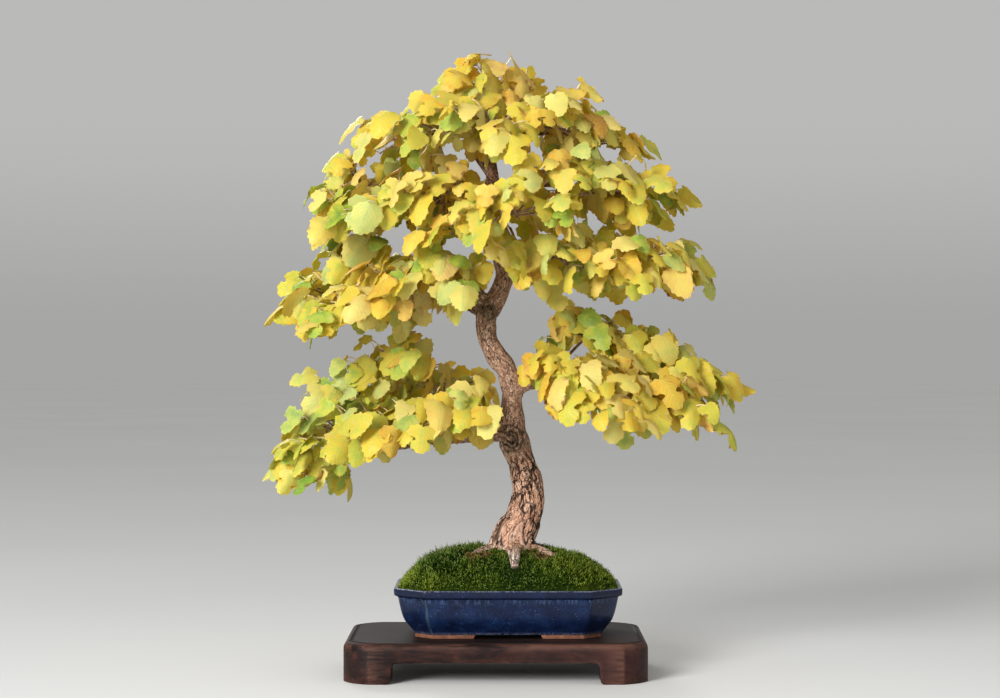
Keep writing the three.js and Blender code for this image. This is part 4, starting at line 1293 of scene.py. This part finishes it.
# %% Trunk, limbs and roots
points, faces = joined_tubes([(spots, centre[[0, -1]]) for spots, _, centre, _ in tubes])
zones, grains = (
    np.concatenate([np.pad(tube[i].reshape(-1, width), ((0, 2), (0, 0))) for tube in tubes])
    for i, width in ((1, 4), (3, 3))
)
trunk = add_piece(
    "trunk_bark",
    points,
    faces,
    [bark],
    values={"crack": zones[:, 0], "zone": zones[:, 1:], "grain": grains * MM},
)
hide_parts("trunk")
print("trunk, limbs and roots", tally["trunk_bark"], "triangles")

# %% [markdown]
# ## The pot
# The pot is one body of stoneware with a deep blue glaze. Its outline is a
# rectangle with cut corners, and the wall swells out towards a plain lip.
# Where the glaze ran thin, on the corners and along the lip, it breaks to a
# dull grey green, and it stops short of the feet, which show the bare clay.

# %% Outlines with softened corners
def soft_polygon(corners, soft, arc_points=6, side_points=12):
    """Polygon whose corners are rounded by curves that start soft away from them.

    Also gives how near each point is to the middle of such a curve, from 0 to 1.
    """
    corners = np.array(corners, float)
    into = unit(corners - np.roll(corners, 1, axis=0))
    away = unit(np.roll(corners, -1, axis=0) - corners)
    part = np.linspace(0, 1, arc_points)
    starts, ends = corners - soft * into, corners + soft * away
    arcs = bezier(starts[:, None], corners[:, None], ends[:, None], part[None])
    part = (np.arange(1, side_points) / side_points)[None, :, None]
    sides = arcs[:, -1:] * (1 - part) + np.roll(arcs[:, 0], -1, axis=0)[:, None] * part
    ring = np.concatenate([arcs, sides], axis=1).reshape(-1, 2)
    near = np.sin(np.linspace(0, np.pi, arc_points)) ** 0.5
    return ring, np.tile(np.concatenate([near, np.zeros(side_points - 1)]), len(corners))


SOFT = 4.0
DRAWN_IN = 0.6


def cut_corner_outline(half_x, half_y, cut):
    """Rectangle with cut and softened corners, from its right side on, seen turning left."""
    x, y = half_x - cut, half_y - cut
    corners = [
        (half_x, -y), (half_x, y), (x, half_y), (-x, half_y),
        (-half_x, y), (-half_x, -y), (-x, -half_y), (x, -half_y),
    ]
    return soft_polygon(corners, SOFT)


def at_height(ring, height):
    """A ring of places in plan, as points at one height."""
    return np.column_stack([ring, np.full(len(ring), height)])


def pot_sizes(inset):
    """Half width, half depth and cut of the pot's outline, drawn in by inset."""
    return POT["width"] / 2 - inset, POT["depth"] / 2 - inset, POT["corner"] - DRAWN_IN * inset


print("points round the pot:", len(cut_corner_outline(*pot_sizes(0))[0]))


# %% Glaze look
def glaze_look():
    """Blue clouds with pale dots and dark pits; runs under the lip; thin glaze on corners."""
    look = Look("blue glaze")
    corner, lip, drip = look.values("glaze")
    spot = look.place()
    height = look.apart(spot)[2]
    cloud = look.speckle(spot, 45, detail=4.0)
    fine = look.speckle(spot, 420, detail=2.0)
    dots = look.cells(spot, 330).rise(0.30, 0.16) * look.speckle(spot, 70).rise(0.50, 0.62)
    pits = look.cells(look.place((1, 1, 1.3)), 210).rise(0.16, 0.08) * cloud.rise(0.45, 0.6)
    runs = look.speckle(look.place((1, 1, 0.22)), 300, detail=2.0)
    thin = (corner * (0.55 + 0.9 * (runs - 0.5))).rise(0.28, 0.8)
    colour = look.over(
        look.ramp(cloud * 0.6 + fine * 0.4, (0.32, "070d21"), (0.50, "0c1a38"), (0.66, "162a4e")),
        (dots * 0.40, "5573aa"),
        (pits * 0.6, "070d22"),
        (drip * runs.rise(0.42, 0.70) * 0.30, "6f8bbd"),
        (height.rise(0.1108, 0.1120) * 0.45, "0b1026"),
        (thin * 0.85, "40535c"),
        (lip * fine.rise(0.35, 0.6) * 0.7, "8b8fa6"),
    )
    bump = look.bump(cloud * 0.6 + fine * 0.4, 0.25, distance=0.0008)
    return look.finish(
        colour, 0.36, Normal=bump, Specular_IOR_Level=0.20, Coat_Weight=0.10, Coat_Roughness=0.12
    )


glaze = glaze_look()


# %% Clay look
def clay_look():
    """Brown clouds with fine grit, which also makes the relief."""
    look = Look("bare clay")
    spot = look.place()
    shade = look.speckle(spot, 90, detail=4.0)
    grit = look.speckle(spot, 900, detail=2.0)
    colour = look.ramp(shade * 0.6 + grit * 0.4, (0.3, "533122"), (0.5, "794c36"), (0.7, "96694d"))
    bump = look.bump(grit, 0.6, distance=0.0005)
    return look.finish(colour, 0.85, Normal=bump)


clay = clay_look()

# %% Rings of the pot
RIM = POT["height"] - POT["foot"]
# Height over the pot's underside, and how far the wall is drawn in there
OUTSIDE = [
    (0, 27.5), (1.5, 26.6), (4, 25.2), (7, 22.6), (10, 20.2), (13.5, 17.4), (17, 15), (21, 13),
    (25, 11.5), (29.5, 10.1), (34, 9), (41, 7.4), (46, 6.4), (49.4, 5.8), (50.5, 5.0), (51.2, 3.6),
    (51.8, 1.8), (52.4, 0.8), (53.4, 0.3), (57, 0.1), (60.6, 0), (61.6, 0.3), (RIM, 1.1),
]
INSIDE = [
    (RIM, 5.6), (61.7, 6.5), (60.9, 7), (56, 8), (50, 10), (44, 14), (34, 16), (17, 22), (7, 31),
]
pot_rings = []
for height, inset in OUTSIDE + INSIDE:
    ring, corner_nearness = cut_corner_outline(*pot_sizes(inset))
    pot_rings.append(at_height(ring, POT_UNDER + height))
pot_rings = np.array(pot_rings)
print("pot", pot_rings.shape)

# %% Marks on the glaze, and the pot
heights = np.array([height for height, _ in OUTSIDE + INSIDE])[:, None]
outer = (np.arange(len(pot_rings)) < len(OUTSIDE))[:, None]
left_front = (pot_rings[..., 0] < 0) & (pot_rings[..., 1] < 0)
corner_mark = corner_nearness * outer * step(53, 49, heights) * np.where(left_front, 1.0, 0.55)
lip_mark = step(60.5, 61.8, heights) + outer * step(2.2, 0.4, heights)
drip_mark = outer * bell(heights - 48.0, 2.6)
marks = np.stack(np.broadcast_arrays(corner_mark, lip_mark, drip_mark), axis=-1).reshape(-1, 3)
ends = np.array([[0, 0, POT_UNDER], [0, 0, POT_UNDER + POT["wall"]]])
points, faces = joined_tubes([(pot_rings, ends)])
pot = add_piece(
    "pot_glazed", points, faces, [glaze], values={"glaze": np.pad(marks, ((0, 2), (0, 0)))}
)
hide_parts("pot")
print("pot", tally["pot_glazed"], "triangles")

# %% [markdown]
# ## The feet
# Four feet of bare clay stand under the cut corners, each a low band that
# follows its corner. One outline serves for all four, mirrored in turn.

# %% Feet
FOOT = {"half_x": 128, "half_y": 81, "cut": 25, "band": 22, "end_x": 45, "end_y": 34}
# Height, inset of the outline, and slant of the ends
FOOT_PROFILE = [(0, 1.0, 2.2), (0.3, 0.4, 2.0), (1.0, 0, 1.6), (4.5, 0, 0), (7.5, -0.4, -0.8)]
MIRRORS = (1, 1), (-1, 1), (-1, -1), (1, -1)


def foot_corners(inset, slant):
    """The left front foot: a band along the cut corner.

    It is drawn in by inset, and its ends are moved by slant.
    """
    x, y, band = FOOT["half_x"] - inset, FOOT["half_y"] - inset, FOOT["band"] - 2 * inset
    cut, inner = FOOT["cut"] - DRAWN_IN * inset, FOOT["cut"] - DRAWN_IN * FOOT["band"]
    end_x, end_y = FOOT["end_x"] + inset + slant, FOOT["end_y"] + inset + slant
    return [
        (-end_x, -y), (-end_x, -y + band), (-x + band + inner, -y + band),
        (-x + band, -y + band + inner), (-x + band, -end_y), (-x, -end_y), (-x, -y + cut),
        (-x + cut, -y),
    ]


def foot_tube(mirror_x, mirror_y):
    """Rings of one foot, mirrored into its corner, and its end points inside the bend."""
    rings = []
    for height, inset, slant in FOOT_PROFILE:
        ring, _ = soft_polygon(foot_corners(inset, slant), 1.5, 4, 3)
        ring = (ring * (mirror_x, mirror_y))[:: -1 if mirror_x * mirror_y > 0 else 1]
        rings.append(at_height(ring, POT_BASE + height))
    rings = np.array(rings)
    return rings, rings[[0, -1]].mean(axis=1) + (3 * mirror_x, 3 * mirror_y, 0)


points, faces = joined_tubes([foot_tube(*mirror) for mirror in MIRRORS])
feet = add_piece("pot_feet", points, faces, [clay])
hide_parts("pot")
print("feet", len(MIRRORS), "with", tally["pot_feet"], "triangles")

# %% [markdown]
# ## Moss
# The soil is covered by a carpet of moss. Its form is a mound with lumps, and
# its surface is thousands of short shoots that stand in tufts. The shoots are
# real, because their tips make the soft outline against the trunk. Each is a
# thin bent spike with three sides. Their colour goes from lime on the left
# to olive on the right, with painted shade at the foot and a painted highlight at the tip.

# %% Moss look
def moss_look():
    """Colour by hue, painted shade low between the shoots, and a painted highlight at the tips of
    some of them.
    """
    look = Look("moss")
    hue, shade, along = look.values("moss")
    fine = look.speckle(look.place(), 260, detail=3.0)
    colour = look.ramp(
        hue + (fine - 0.5) * 0.5,
        (0.0, "19390c"), (0.28, "2f4f0a"), (0.55, "57720e"), (0.80, "879522"), (0.93, "583b20"),
        (1.0, "86623f"),
    )
    colour = look.over(
        colour,
        # Painted shade: dark low on the shoots and over the mound between them.
        ((along * 0.7 + shade * 0.6).rise(1.05, 0.10) * 0.92, "0a1002"),
        # Painted highlight: pale at the tips of some shoots.
        (along.rise(0.60, 1.0) * shade.rise(0.35, 0.85) * 0.75, "d4de7c"),
    )
    bump = look.bump(fine, 0.8, distance=0.0015)
    return look.finish(colour, 0.9, Normal=bump, Specular_IOR_Level=0.08)


moss_colour = moss_look()

# %% [markdown]
# ## The mound
# The soil is heaped up towards the trunk and falls steeply at the pot's lip.
# A share runs from the middle to the edge along the pot's own outline, so the
# mound meets the lip evenly all round.

# %% Form of the mound
MOSS_HALF = np.array(pot_sizes(7.6)[:2])
MOSS_CUT = pot_sizes(7.6)[2]
MOUND_RISE, MOUND_SINK, MOUND_SWELL = 50, 1, 4


def mound_share(x, y):
    """0 at the middle of the pot, 1 at the edge of the moss, the same along each ring."""
    corner = (np.abs(x) + np.abs(y)) / (MOSS_HALF.sum() - MOSS_CUT)
    return np.maximum.reduce([np.abs(x) / MOSS_HALF[0], np.abs(y) / MOSS_HALF[1], corner])


def mound_height(x, y):
    """Height of the carpet: the packed model's mound, and soft lumps on it.

    The mound falls by the cube of the share of the way to the edge.
    """
    share = np.minimum(mound_share(x, y), 1)
    swell = np.sin(x / 13 + 2 * np.sin(y / 31)) * np.cos(y / 11 + np.sin(x / 23))
    spot = np.stack([x, y, np.zeros_like(x)], axis=-1)
    lumps = step(1.0, 0.9, share) * (2.0 * noise(spot / 17, 31) + 1.2 * noise(spot / 7, 32))
    mound = POT_RIM + MOUND_RISE * (1 - share**3) - MOUND_SINK
    return mound + MOUND_SWELL * swell * (1.15 - share) + lumps


def mound_normal(x, y):
    """The way square to the carpet, from the height's slopes over 2 mm."""
    slope_x = (mound_height(x + 1, y) - mound_height(x - 1, y)) / 2
    slope_y = (mound_height(x, y + 1) - mound_height(x, y - 1)) / 2
    return unit(np.stack([-slope_x, -slope_y, np.ones_like(x)], axis=-1))


middle_height = mound_height(np.zeros(1), np.zeros(1))[0]
print("height of the carpet in the middle:", round(middle_height, 1), "mm")

# %% Hues of the moss
LITTER = (-42, -46), (50, -42)


def moss_hue(points):
    """Lime low on the left, blue green above it, dark in the middle, olive on the right.

    Brown litter lies by the roots.
    """
    x, y, z = np.moveaxis(points, -1, 0)
    side = 0.36 + 0.26 * step(-30, -120, x) * step(152, 134, z) + 0.14 * step(20, 120, x)
    side = side - 0.22 * step(-40, -75, x) * step(140, 156, z)
    patches = 0.15 * noise(points / 26, 33) + 0.12 * noise(points / 8, 34)
    litter = sum(np.exp(-(((x - a) / 19) ** 2) - ((y - b) / 14) ** 2) for a, b in LITTER)
    brown = step(0.12, 0.42, litter + 0.55 * noise(points / 6, 35) * (litter > 0.08))
    return np.where(brown > 0.5, 0.9 + 0.1 * brown, np.clip(side + patches, 0.05, 0.78))


print("hue in the middle:", moss_hue(np.array([0.0, -60.0, 165.0])).round(2))

# %% Mound
SKIRT = 6
shares = np.concatenate([np.linspace(0.06, 0.95, 46), [0.97, 0.985, 0.995, 1.0]])
edge, _ = cut_corner_outline(*MOSS_HALF, MOSS_CUT)
x, y = (shares[:, None] * edge[:, i] for i in (0, 1))
mound = np.stack([x, y, mound_height(x, y)], axis=-1)
skirt = mound[-1] * (1, 1, 0) + (0, 0, POT_RIM - SKIRT)
mound = np.concatenate([mound, skirt[None]])[::-1]
ends = np.array([[0, 0, POT_RIM - SKIRT], [0, 0, middle_height]])
mound_points, (mound_quads, mound_caps) = joined_tubes([(mound, ends)])
print("mound", mound.shape)

# %% [markdown]
# ## The shoots
# Shoots stand in tufts, with more of them where the mound is steep, and lean
# out of its surface. They keep clear of the trunk and of the surface roots.
# All of them are bent from one shape at once.

# %% Where the shoots stand
SHOOTS, TUFTS, TUFT_SPREAD = 17500, 5200, 2.0
TRUNK_CLEAR, ROOT_CLEAR = 36, 0.8


def off_the_roots(points):
    """True where a point is clear of the trunk's foot and of the surface roots."""
    clear = np.hypot(points[:, 0] - TRUNK[0][0], points[:, 1]) > TRUNK_CLEAR
    for stations in ROOTS:
        path = smooth_curve(stations, np.linspace(0, 1, 40))
        apart = np.linalg.norm(points[:, None, :2] - path[None, :, :2], axis=-1) - path[:, 3] / 2
        clear &= apart.min(axis=1) > ROOT_CLEAR
    return clear


chance = np.random.default_rng(23)
tufts = chance.uniform(-1, 1, (TUFTS, 2)) * MOSS_HALF
tufts = tufts[mound_share(*tufts.T) < 0.995]
steep = 1 / mound_normal(*tufts.T)[:, 2]
picked = chance.choice(len(tufts), SHOOTS, p=steep / steep.sum())
roots = tufts[picked] + chance.normal(0, TUFT_SPREAD, (SHOOTS, 2))
inside = mound_share(*roots.T) < 0.998
roots, picked = roots[inside], picked[inside]
roots = np.column_stack([roots, mound_height(*roots.T) - 0.8])
clear = off_the_roots(roots)
roots, picked = roots[clear], picked[clear]
count = len(roots)
print(count, "shoots in", len(tufts), "tufts")

# %% How the shoots lean and how long they are
tuft = chance.normal(0, 1, (len(tufts), 5))[picked]
upright = mound_normal(*roots[:, :2].T)
lean = unit(upright + chance.normal(0, 0.32, (count, 3)) + 0.34 * tuft[:, :3] + (0, 0, 0.25))
rim_share = step(0.93, 1.0, mound_share(*roots[:, :2].T))[:, None]
lean = unit(lean + 0.7 * rim_share * unit(roots * (1, 1, 0)))
long = step(-35, -80, roots[:, :1]) * step(138, 150, roots[:, 2:])
litter = moss_hue(roots)[:, None] > 0.85
length = chance.uniform(4.0, 8.5, (count, 1)) * np.exp(0.16 * tuft[:, 3:4]) * (1 + 0.7 * long)
length = length * (1 - 0.35 * rim_share) * np.where(litter, 0.45, 1)
bend = unit(np.cross(lean, chance.normal(0, 1, (count, 3))))
thick = chance.uniform(0.45, 0.8, (count, 1))
print("mean length of a shoot:", length.mean().round(1), "mm")

# %% Shoots
angle = (np.arange(3) * 2 * np.pi / 3)[None, :, None]
ring = np.cos(angle) * bend[:, None] + np.sin(angle) * np.cross(lean, bend)[:, None]
middle = roots + 0.55 * length * lean + 0.05 * length * bend
tips = roots + length * lean + 0.28 * length * bend
low = roots[:, None] + ring * thick[:, None]
high = middle[:, None] + ring * thick[:, None] * 0.75
shoots = np.concatenate([low, high, tips[:, None]], axis=1)
one_quads = np.array([(0, 1, 4, 3), (1, 2, 5, 4), (2, 0, 3, 5)])
one_caps = np.array([(3, 4, 6), (4, 5, 6), (5, 3, 6), (2, 1, 0)])
PER_SHOOT = shoots.shape[1]
starts = len(mound_points) + PER_SHOOT * np.arange(count)[:, None, None]
shoot_quads, shoot_caps = (
    (one[None] + starts).reshape(-1, one.shape[1]) for one in (one_quads, one_caps)
)
print("points of a shoot:", PER_SHOOT)

# %% Moss carpet
shoot_shade = np.clip(chance.uniform(0, 1, count) + 0.22 * tuft[:, 4], 0, 1)
shoot_hue = moss_hue(roots) + chance.normal(0, 0.10, count)
bare = np.ones(len(mound_points))
hue = np.concatenate([moss_hue(mound_points), np.repeat(shoot_hue, PER_SHOOT)])
# The mound gets low shade and along values, so the painted shade covers it.
shade = np.concatenate([0.3 * bare, np.repeat(shoot_shade, PER_SHOOT)])
along = np.concatenate([0.15 * bare, np.tile([0, 0, 0, 0.6, 0.6, 0.6, 1.0], count)])
moss = add_piece(
    "moss_carpet",
    np.concatenate([mound_points, shoots.reshape(-1, 3)]),
    [np.concatenate([mound_quads, shoot_quads]), np.concatenate([mound_caps, shoot_caps])],
    [moss_colour],
    values={"moss": np.stack([hue, shade, along], axis=-1)},
)
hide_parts("moss")
print("moss", count, "shoots,", tally["moss_carpet"], "triangles")

# %% [markdown]
# ## The stand
# The stand is a low table cut from one block of dark, close-grained hardwood.
# Its top and its legs are one surface, so it is laid out as a grid in plan:
# the square corners of the grid are drawn in to soft ones, the underside
# drops by the depth of the apron where a leg stands, and the wall joins the
# two. A wooden edge is never sharp, so every turn is spread over a few rows.

# %% Rosewood look
def rosewood_look():
    """Long bands and streaks along the stand, dark pores, paler edges that are partly wear and
    partly painted highlight, and painted shade over the top.
    """
    look = Look("rosewood")
    worn = look.value("worn")
    bend = look.speckle(look.place((1.5, 4, 4)), 3.0)
    streaks = look.speckle(look.place((0.16, 1, 1)), 130, detail=5.0, roughness=0.6, warp=0.6)
    bands = look.speckle(look.place((0.5, 1, 1)), 30, detail=5.0, roughness=0.6, warp=1.6)
    pores = look.speckle(look.place((0.05, 1, 1)), 900, detail=2.0)
    tint = look.speckle(look.place(), 9.0)
    height = look.apart(look.place())[2]
    colour = look.ramp(
        bands * 0.6 + streaks * 0.3 + bend * 0.1,
        (0.34, "0b0403"), (0.45, "190a08"), (0.54, "2c1410"), (0.66, "46251a"),
    )
    colour = look.over(
        colour,
        (pores.rise(0.52, 0.68) * 0.5, "170b08"),
        (tint.rise(0.52, 0.72) * 0.45, "4a2a2a"),
        # Paler edges: partly wear, partly a painted highlight on the rounded top edge and the
        # corners.
        (worn * (streaks * 0.6 + tint * 0.6).rise(0.48, 0.75) * 0.42, "7d5848"),
        # Painted shade: the top of the stand is darkened.
        (height.rise(0.0535, 0.0549) * 0.6, "120d0b"),
    )
    rough = 0.46 + pores * 0.15 + worn * 0.1
    bump = look.bump(streaks * 0.6 + pores * 0.6, 0.35, distance=0.0006)
    return look.finish(colour, rough, Normal=bump, Specular_IOR_Level=0.18)


rosewood = rosewood_look()

# %% [markdown]
# ## The stand's form
# Seen from above, the grid has lines close together where the legs end, so
# that the step up from a leg to the apron is rounded like a carved one. The
# corner squares of the grid are pressed into round corners.

# %% Plan of the stand
CORNER = 36
ROUNDNESS = 0.6
LEG_OFFSETS = np.array([-6, -3.5, -1.5, -0.3, 0, 0.3, 0.9, 3, 6, 9])
LEG_SHARE = np.array([1, 0.985, 0.93, 0.85, 0.6, 0.35, 0.2, 0.07, 0.015, 0])


def stand_lines(half, leg, between):
    """Lines of the plan grid from edge to edge, and how much of a leg stands at each."""
    corner = half - CORNER + np.linspace(CORNER, 0, 7)
    inner = half - leg - LEG_OFFSETS
    side = np.concatenate([corner, inner, np.linspace(inner[-1], 0, between + 1)[1:]])
    share = np.concatenate([np.ones(7), LEG_SHARE, np.zeros(between)])
    return np.concatenate([-side, side[-2::-1]]), np.concatenate([share, share[-2::-1]])


def plan(x, y, half_x, half_y, inset=0.0):
    """Plan places: in each corner square, rings of the square go over to a rounded cut corner."""
    reach_x, reach_y = half_x - CORNER, half_y - CORNER
    u = np.maximum(np.abs(x) - reach_x, 0) / CORNER
    v = np.maximum(np.abs(y) - reach_y, 0) / CORNER
    high, low = np.maximum(u, v), np.minimum(u, v)
    turn = low / np.maximum(high, 1e-9)
    long = ROUNDNESS * np.cos(turn * np.pi / 4) + (1 - ROUNDNESS) * (1 - turn / 2)
    short = ROUNDNESS * np.sin(turn * np.pi / 4) + (1 - ROUNDNESS) * turn / 2
    long, short = high * long * CORNER, high * short * CORNER
    size_x, size_y = np.where(u >= v, long, short), np.where(u >= v, short, long)
    new_x = np.sign(x) * (np.minimum(np.abs(x), reach_x) + np.where(u > 0, size_x, 0))
    new_y = np.sign(y) * (np.minimum(np.abs(y), reach_y) + np.where(v > 0, size_y, 0))
    return new_x * (1 - inset / half_x), new_y * (1 - inset / half_y)


half_x, half_y = STAND["width"] / 2, STAND["depth"] / 2
lines_x, share_x = stand_lines(half_x, STAND["leg"][0], 4)
lines_y, share_y = stand_lines(half_y, STAND["leg"][1], 3)
grid_x, grid_y = np.meshgrid(lines_x, lines_y, indexing="ij")
under = STAND["underside"] * (1 - share_x[:, None] * share_y[None])
rows, columns = under.shape
number = np.arange(rows * columns).reshape(rows, columns)
border = np.concatenate([number[:, 0], number[-1, 1:], number[-2::-1, -1], number[0, -2:0:-1]])
print("plan grid", under.shape, "with", len(border), "points round it")

# %% Wall of the stand
# Each row is a height and an inset: two rows over the foot, then shares of the way up to
# the top edge, then heights over the floor
FOOT_EDGE, WALL = [(0.4, 0.5), (1.5, 0.0)], [0.25, 0.5, 0.75, 1.0]
TOP_EDGE = [(48.5, 0.5), (51, 1.6), (53, 3.4), (54.3, 5.2), (55, 8)]
WALL_TOP = 45


def level(inset, z):
    """All places of the plan grid, drawn in by inset, at the height z."""
    x, y = plan(grid_x, grid_y, half_x, half_y, inset)
    return np.stack(np.broadcast_arrays(x, y, z), axis=-1).reshape(-1, 3)


bottom, top = level(1.4, under), level(TOP_EDGE[-1][1], TOP_EDGE[-1][0])
wall_foot = under.ravel()[border]
rings = [level(inset, 0.0)[border] + np.outer(wall_foot + rise, UP) for rise, inset in FOOT_EDGE]
for share in WALL:
    start = wall_foot + FOOT_EDGE[-1][0]
    z = start + share * (WALL_TOP - wall_foot - FOOT_EDGE[-1][0])
    rings.append(level(0.0, 0.0)[border] + np.outer(z, UP))
rings = np.array(rings + [level(inset, z)[border] for z, inset in TOP_EDGE[:-1]])
print("wall", rings.shape)

# %% Faces of the stand
sheet = grid_faces(rows, columns)
count = rows * columns
wall_first = 2 * count
wall_faces = grid_faces(*rings.shape[:2], closed=True) + wall_first
turn = np.arange(len(border))
after = (turn + 1) % len(border)
last = wall_first + (len(rings) - 1) * len(border)
low_join = np.stack([border, border[after], wall_first + after, wall_first + turn], axis=-1)
high_join = np.stack([last + turn, last + after, count + border[after], count + border], axis=-1)
stand_faces = np.concatenate([sheet[:, ::-1], sheet + count, wall_faces, low_join, high_join])
stand_points = np.concatenate([bottom, top, rings.reshape(-1, 3)]) + (STAND["x"], 0, 0)
print("stand", len(stand_points), "points")

# %% Wear and painted highlight, and the stand
# Paler edges are partly wear and partly painted highlight, most along the rounded top edge and at
# the corners.
RING_WEAR_AND_HIGHLIGHT = np.array([0.5, 0.4, 0.1, 0.1, 0.1, 0.2, 0.7, 1.0, 0.9, 0.5])
x, y = np.abs(grid_x).ravel()[border], np.abs(grid_y).ravel()[border]
at_turn = np.maximum(
    bell(x - half_x + CORNER, 3) * (y > half_y - 1), bell(y - half_y + CORNER, 3) * (x > half_x - 1)
)
worn = np.maximum(at_turn[None], RING_WEAR_AND_HIGHLIGHT[: len(rings), None])
worn = np.concatenate([np.full(count, 0.1), np.full(count, 0.25), worn.ravel()])
stand = add_piece("stand_wood", stand_points, [stand_faces], [rosewood], values={"worn": worn})
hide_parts("stand")
print("stand", tally["stand_wood"], "triangles")

# %% [markdown]
# ## What lies out of sight
# Soil and drain meshes keep their packed shapes. They are not seen from
# outside, but a part that is taken from the pot shows them, so each gets its
# own finish.

# %% Soil and mesh looks
def soil_look():
    """Crumbs of different browns, with painted shade between their middles."""
    look = Look("potting soil")
    crumbs, grains = look.cells(look.place(), 260, output=[0, 1])
    share = look.node("ShaderNodeSeparateColor", None, {0: grains})
    colour = look.ramp(share, (0.0, "2b1d14"), (0.45, "4b3524"), (0.75, "7a5a3c"), (0.95, "9b8a78"))
    # Painted shade in the gaps between the crumbs.
    colour = look.mix(crumbs.rise(0.35, 0.6) * 0.7, colour, "140d08")
    bump = look.bump(crumbs, 1.0, distance=0.002)
    return look.finish(colour, 0.95, Normal=bump)


def mesh_look():
    """Near black plastic with a fine grain."""
    look = Look("drain mesh plastic")
    fine = look.speckle(look.place(), 700)
    colour = look.ramp(fine, (0.35, "1a1a1a"), (0.65, "2c2c2b"))
    bump = look.bump(fine, 0.3, distance=0.0002)
    return look.finish(colour, 0.55, Normal=bump)


soil, drain = soil_look(), mesh_look()
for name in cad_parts:
    if name == "soil" or "mesh" in name:
        for place in bpy.data.objects[name].material_slots:
            place.material = soil if name == "soil" else drain
            print(name, place.material.name)

# %% [markdown]
# ## Stage and light
# A broad pale floor and a pale surrounding carry the soft light of a studio.
# A large, soft key light stands in front on the left, somewhat above the
# crown, as the bright left sides of trunk and pot show. A weak fill keeps the
# right side from going black. A soft spot lamp behind the tree, on its left,
# lets leaves glow at their edges and lights the back of the crown.

# %% Floor
SPREAD = 30.0


def floor_look():
    """Near white, with a very soft change of shade."""
    look = Look("studio floor")
    shade = look.speckle(look.place(), 0.7)
    colour = look.ramp(shade, (0.3, "dfdfde"), (0.7, "e3e3e1"))
    return look.finish(colour, 0.9)


floor_mesh = bpy.data.meshes.new("floor")
corners = [(-SPREAD, -SPREAD, 0), (SPREAD, -SPREAD, 0), (SPREAD, SPREAD, 0), (-SPREAD, SPREAD, 0)]
floor_mesh.from_pydata(corners, [], [(0, 1, 2, 3)])
floor_mesh.materials.append(floor_look())
floor = bpy.data.objects.new("floor", floor_mesh)
bpy.context.collection.objects.link(floor)
print("floor", 2 * SPREAD, "m wide")

# %% Surrounding
world = bpy.data.worlds.new("pale surrounding")
world.use_nodes = True
tree = world.node_tree
way = tree.nodes.new("ShaderNodeTexCoord")
parts = tree.nodes.new("ShaderNodeSeparateXYZ")
shade = tree.nodes.new("ShaderNodeValToRGB")
shade.color_ramp.interpolation = "EASE"
for stop, place, code in zip(shade.color_ramp.elements, (0.0, 0.10), ("dadad9", "f4f4f3")):
    stop.position, stop.color = place, linear(code)
tree.links.new(way.outputs["Generated"], parts.inputs[0])
tree.links.new(parts.outputs["Z"], shade.inputs[0])
surrounding = tree.nodes["Background"]
tree.links.new(shade.outputs[0], surrounding.inputs["Color"])
surrounding.inputs["Strength"].default_value = 0.54
bpy.context.scene.world = world
print("surrounding", world.name)


# %% Lights
def add_light(name, place, aim, size, power, cone=None):
    """A square lamp of a size in metres at a place, turned towards the point aim.

    With a cone, in degrees, it is a spot lamp that fades out towards the cone's rim.
    """
    lamp = bpy.data.lights.new(name, "SPOT" if cone else "AREA")
    lamp.energy = power
    if cone:
        lamp.spot_size, lamp.spot_blend, lamp.shadow_soft_size = np.radians(cone), 1.0, size
    else:
        lamp.size = size
    held = bpy.data.objects.new(name, lamp)
    way = np.array(aim, float) - place
    turn = np.arctan2(way[1], way[0]) - np.pi / 2
    tilt = np.arctan2(np.hypot(way[0], way[1]), -way[2])
    held.location, held.rotation_euler = place, (tilt, 0, turn)
    bpy.context.collection.objects.link(held)


add_light("key", (-2.7, -4.1, 2.0), (0, 0, 0.50), 1.9, 325)
add_light("fill", (2.2, -1.6, 1.2), (0, 0, 0.40), 1.6, 3)
add_light("back", (-1.0, 2.4, 1.9), (0, 0, 0.62), 0.5, 130, cone=36)
bpy.context.scene.view_settings.view_transform = "Standard"
print("lamps", [lamp.name for lamp in bpy.data.lights])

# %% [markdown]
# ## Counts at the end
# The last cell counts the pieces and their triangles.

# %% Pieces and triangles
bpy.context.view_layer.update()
print("pieces", len(tally), "triangles", sum(tally.values()), "most", max(tally.values()))
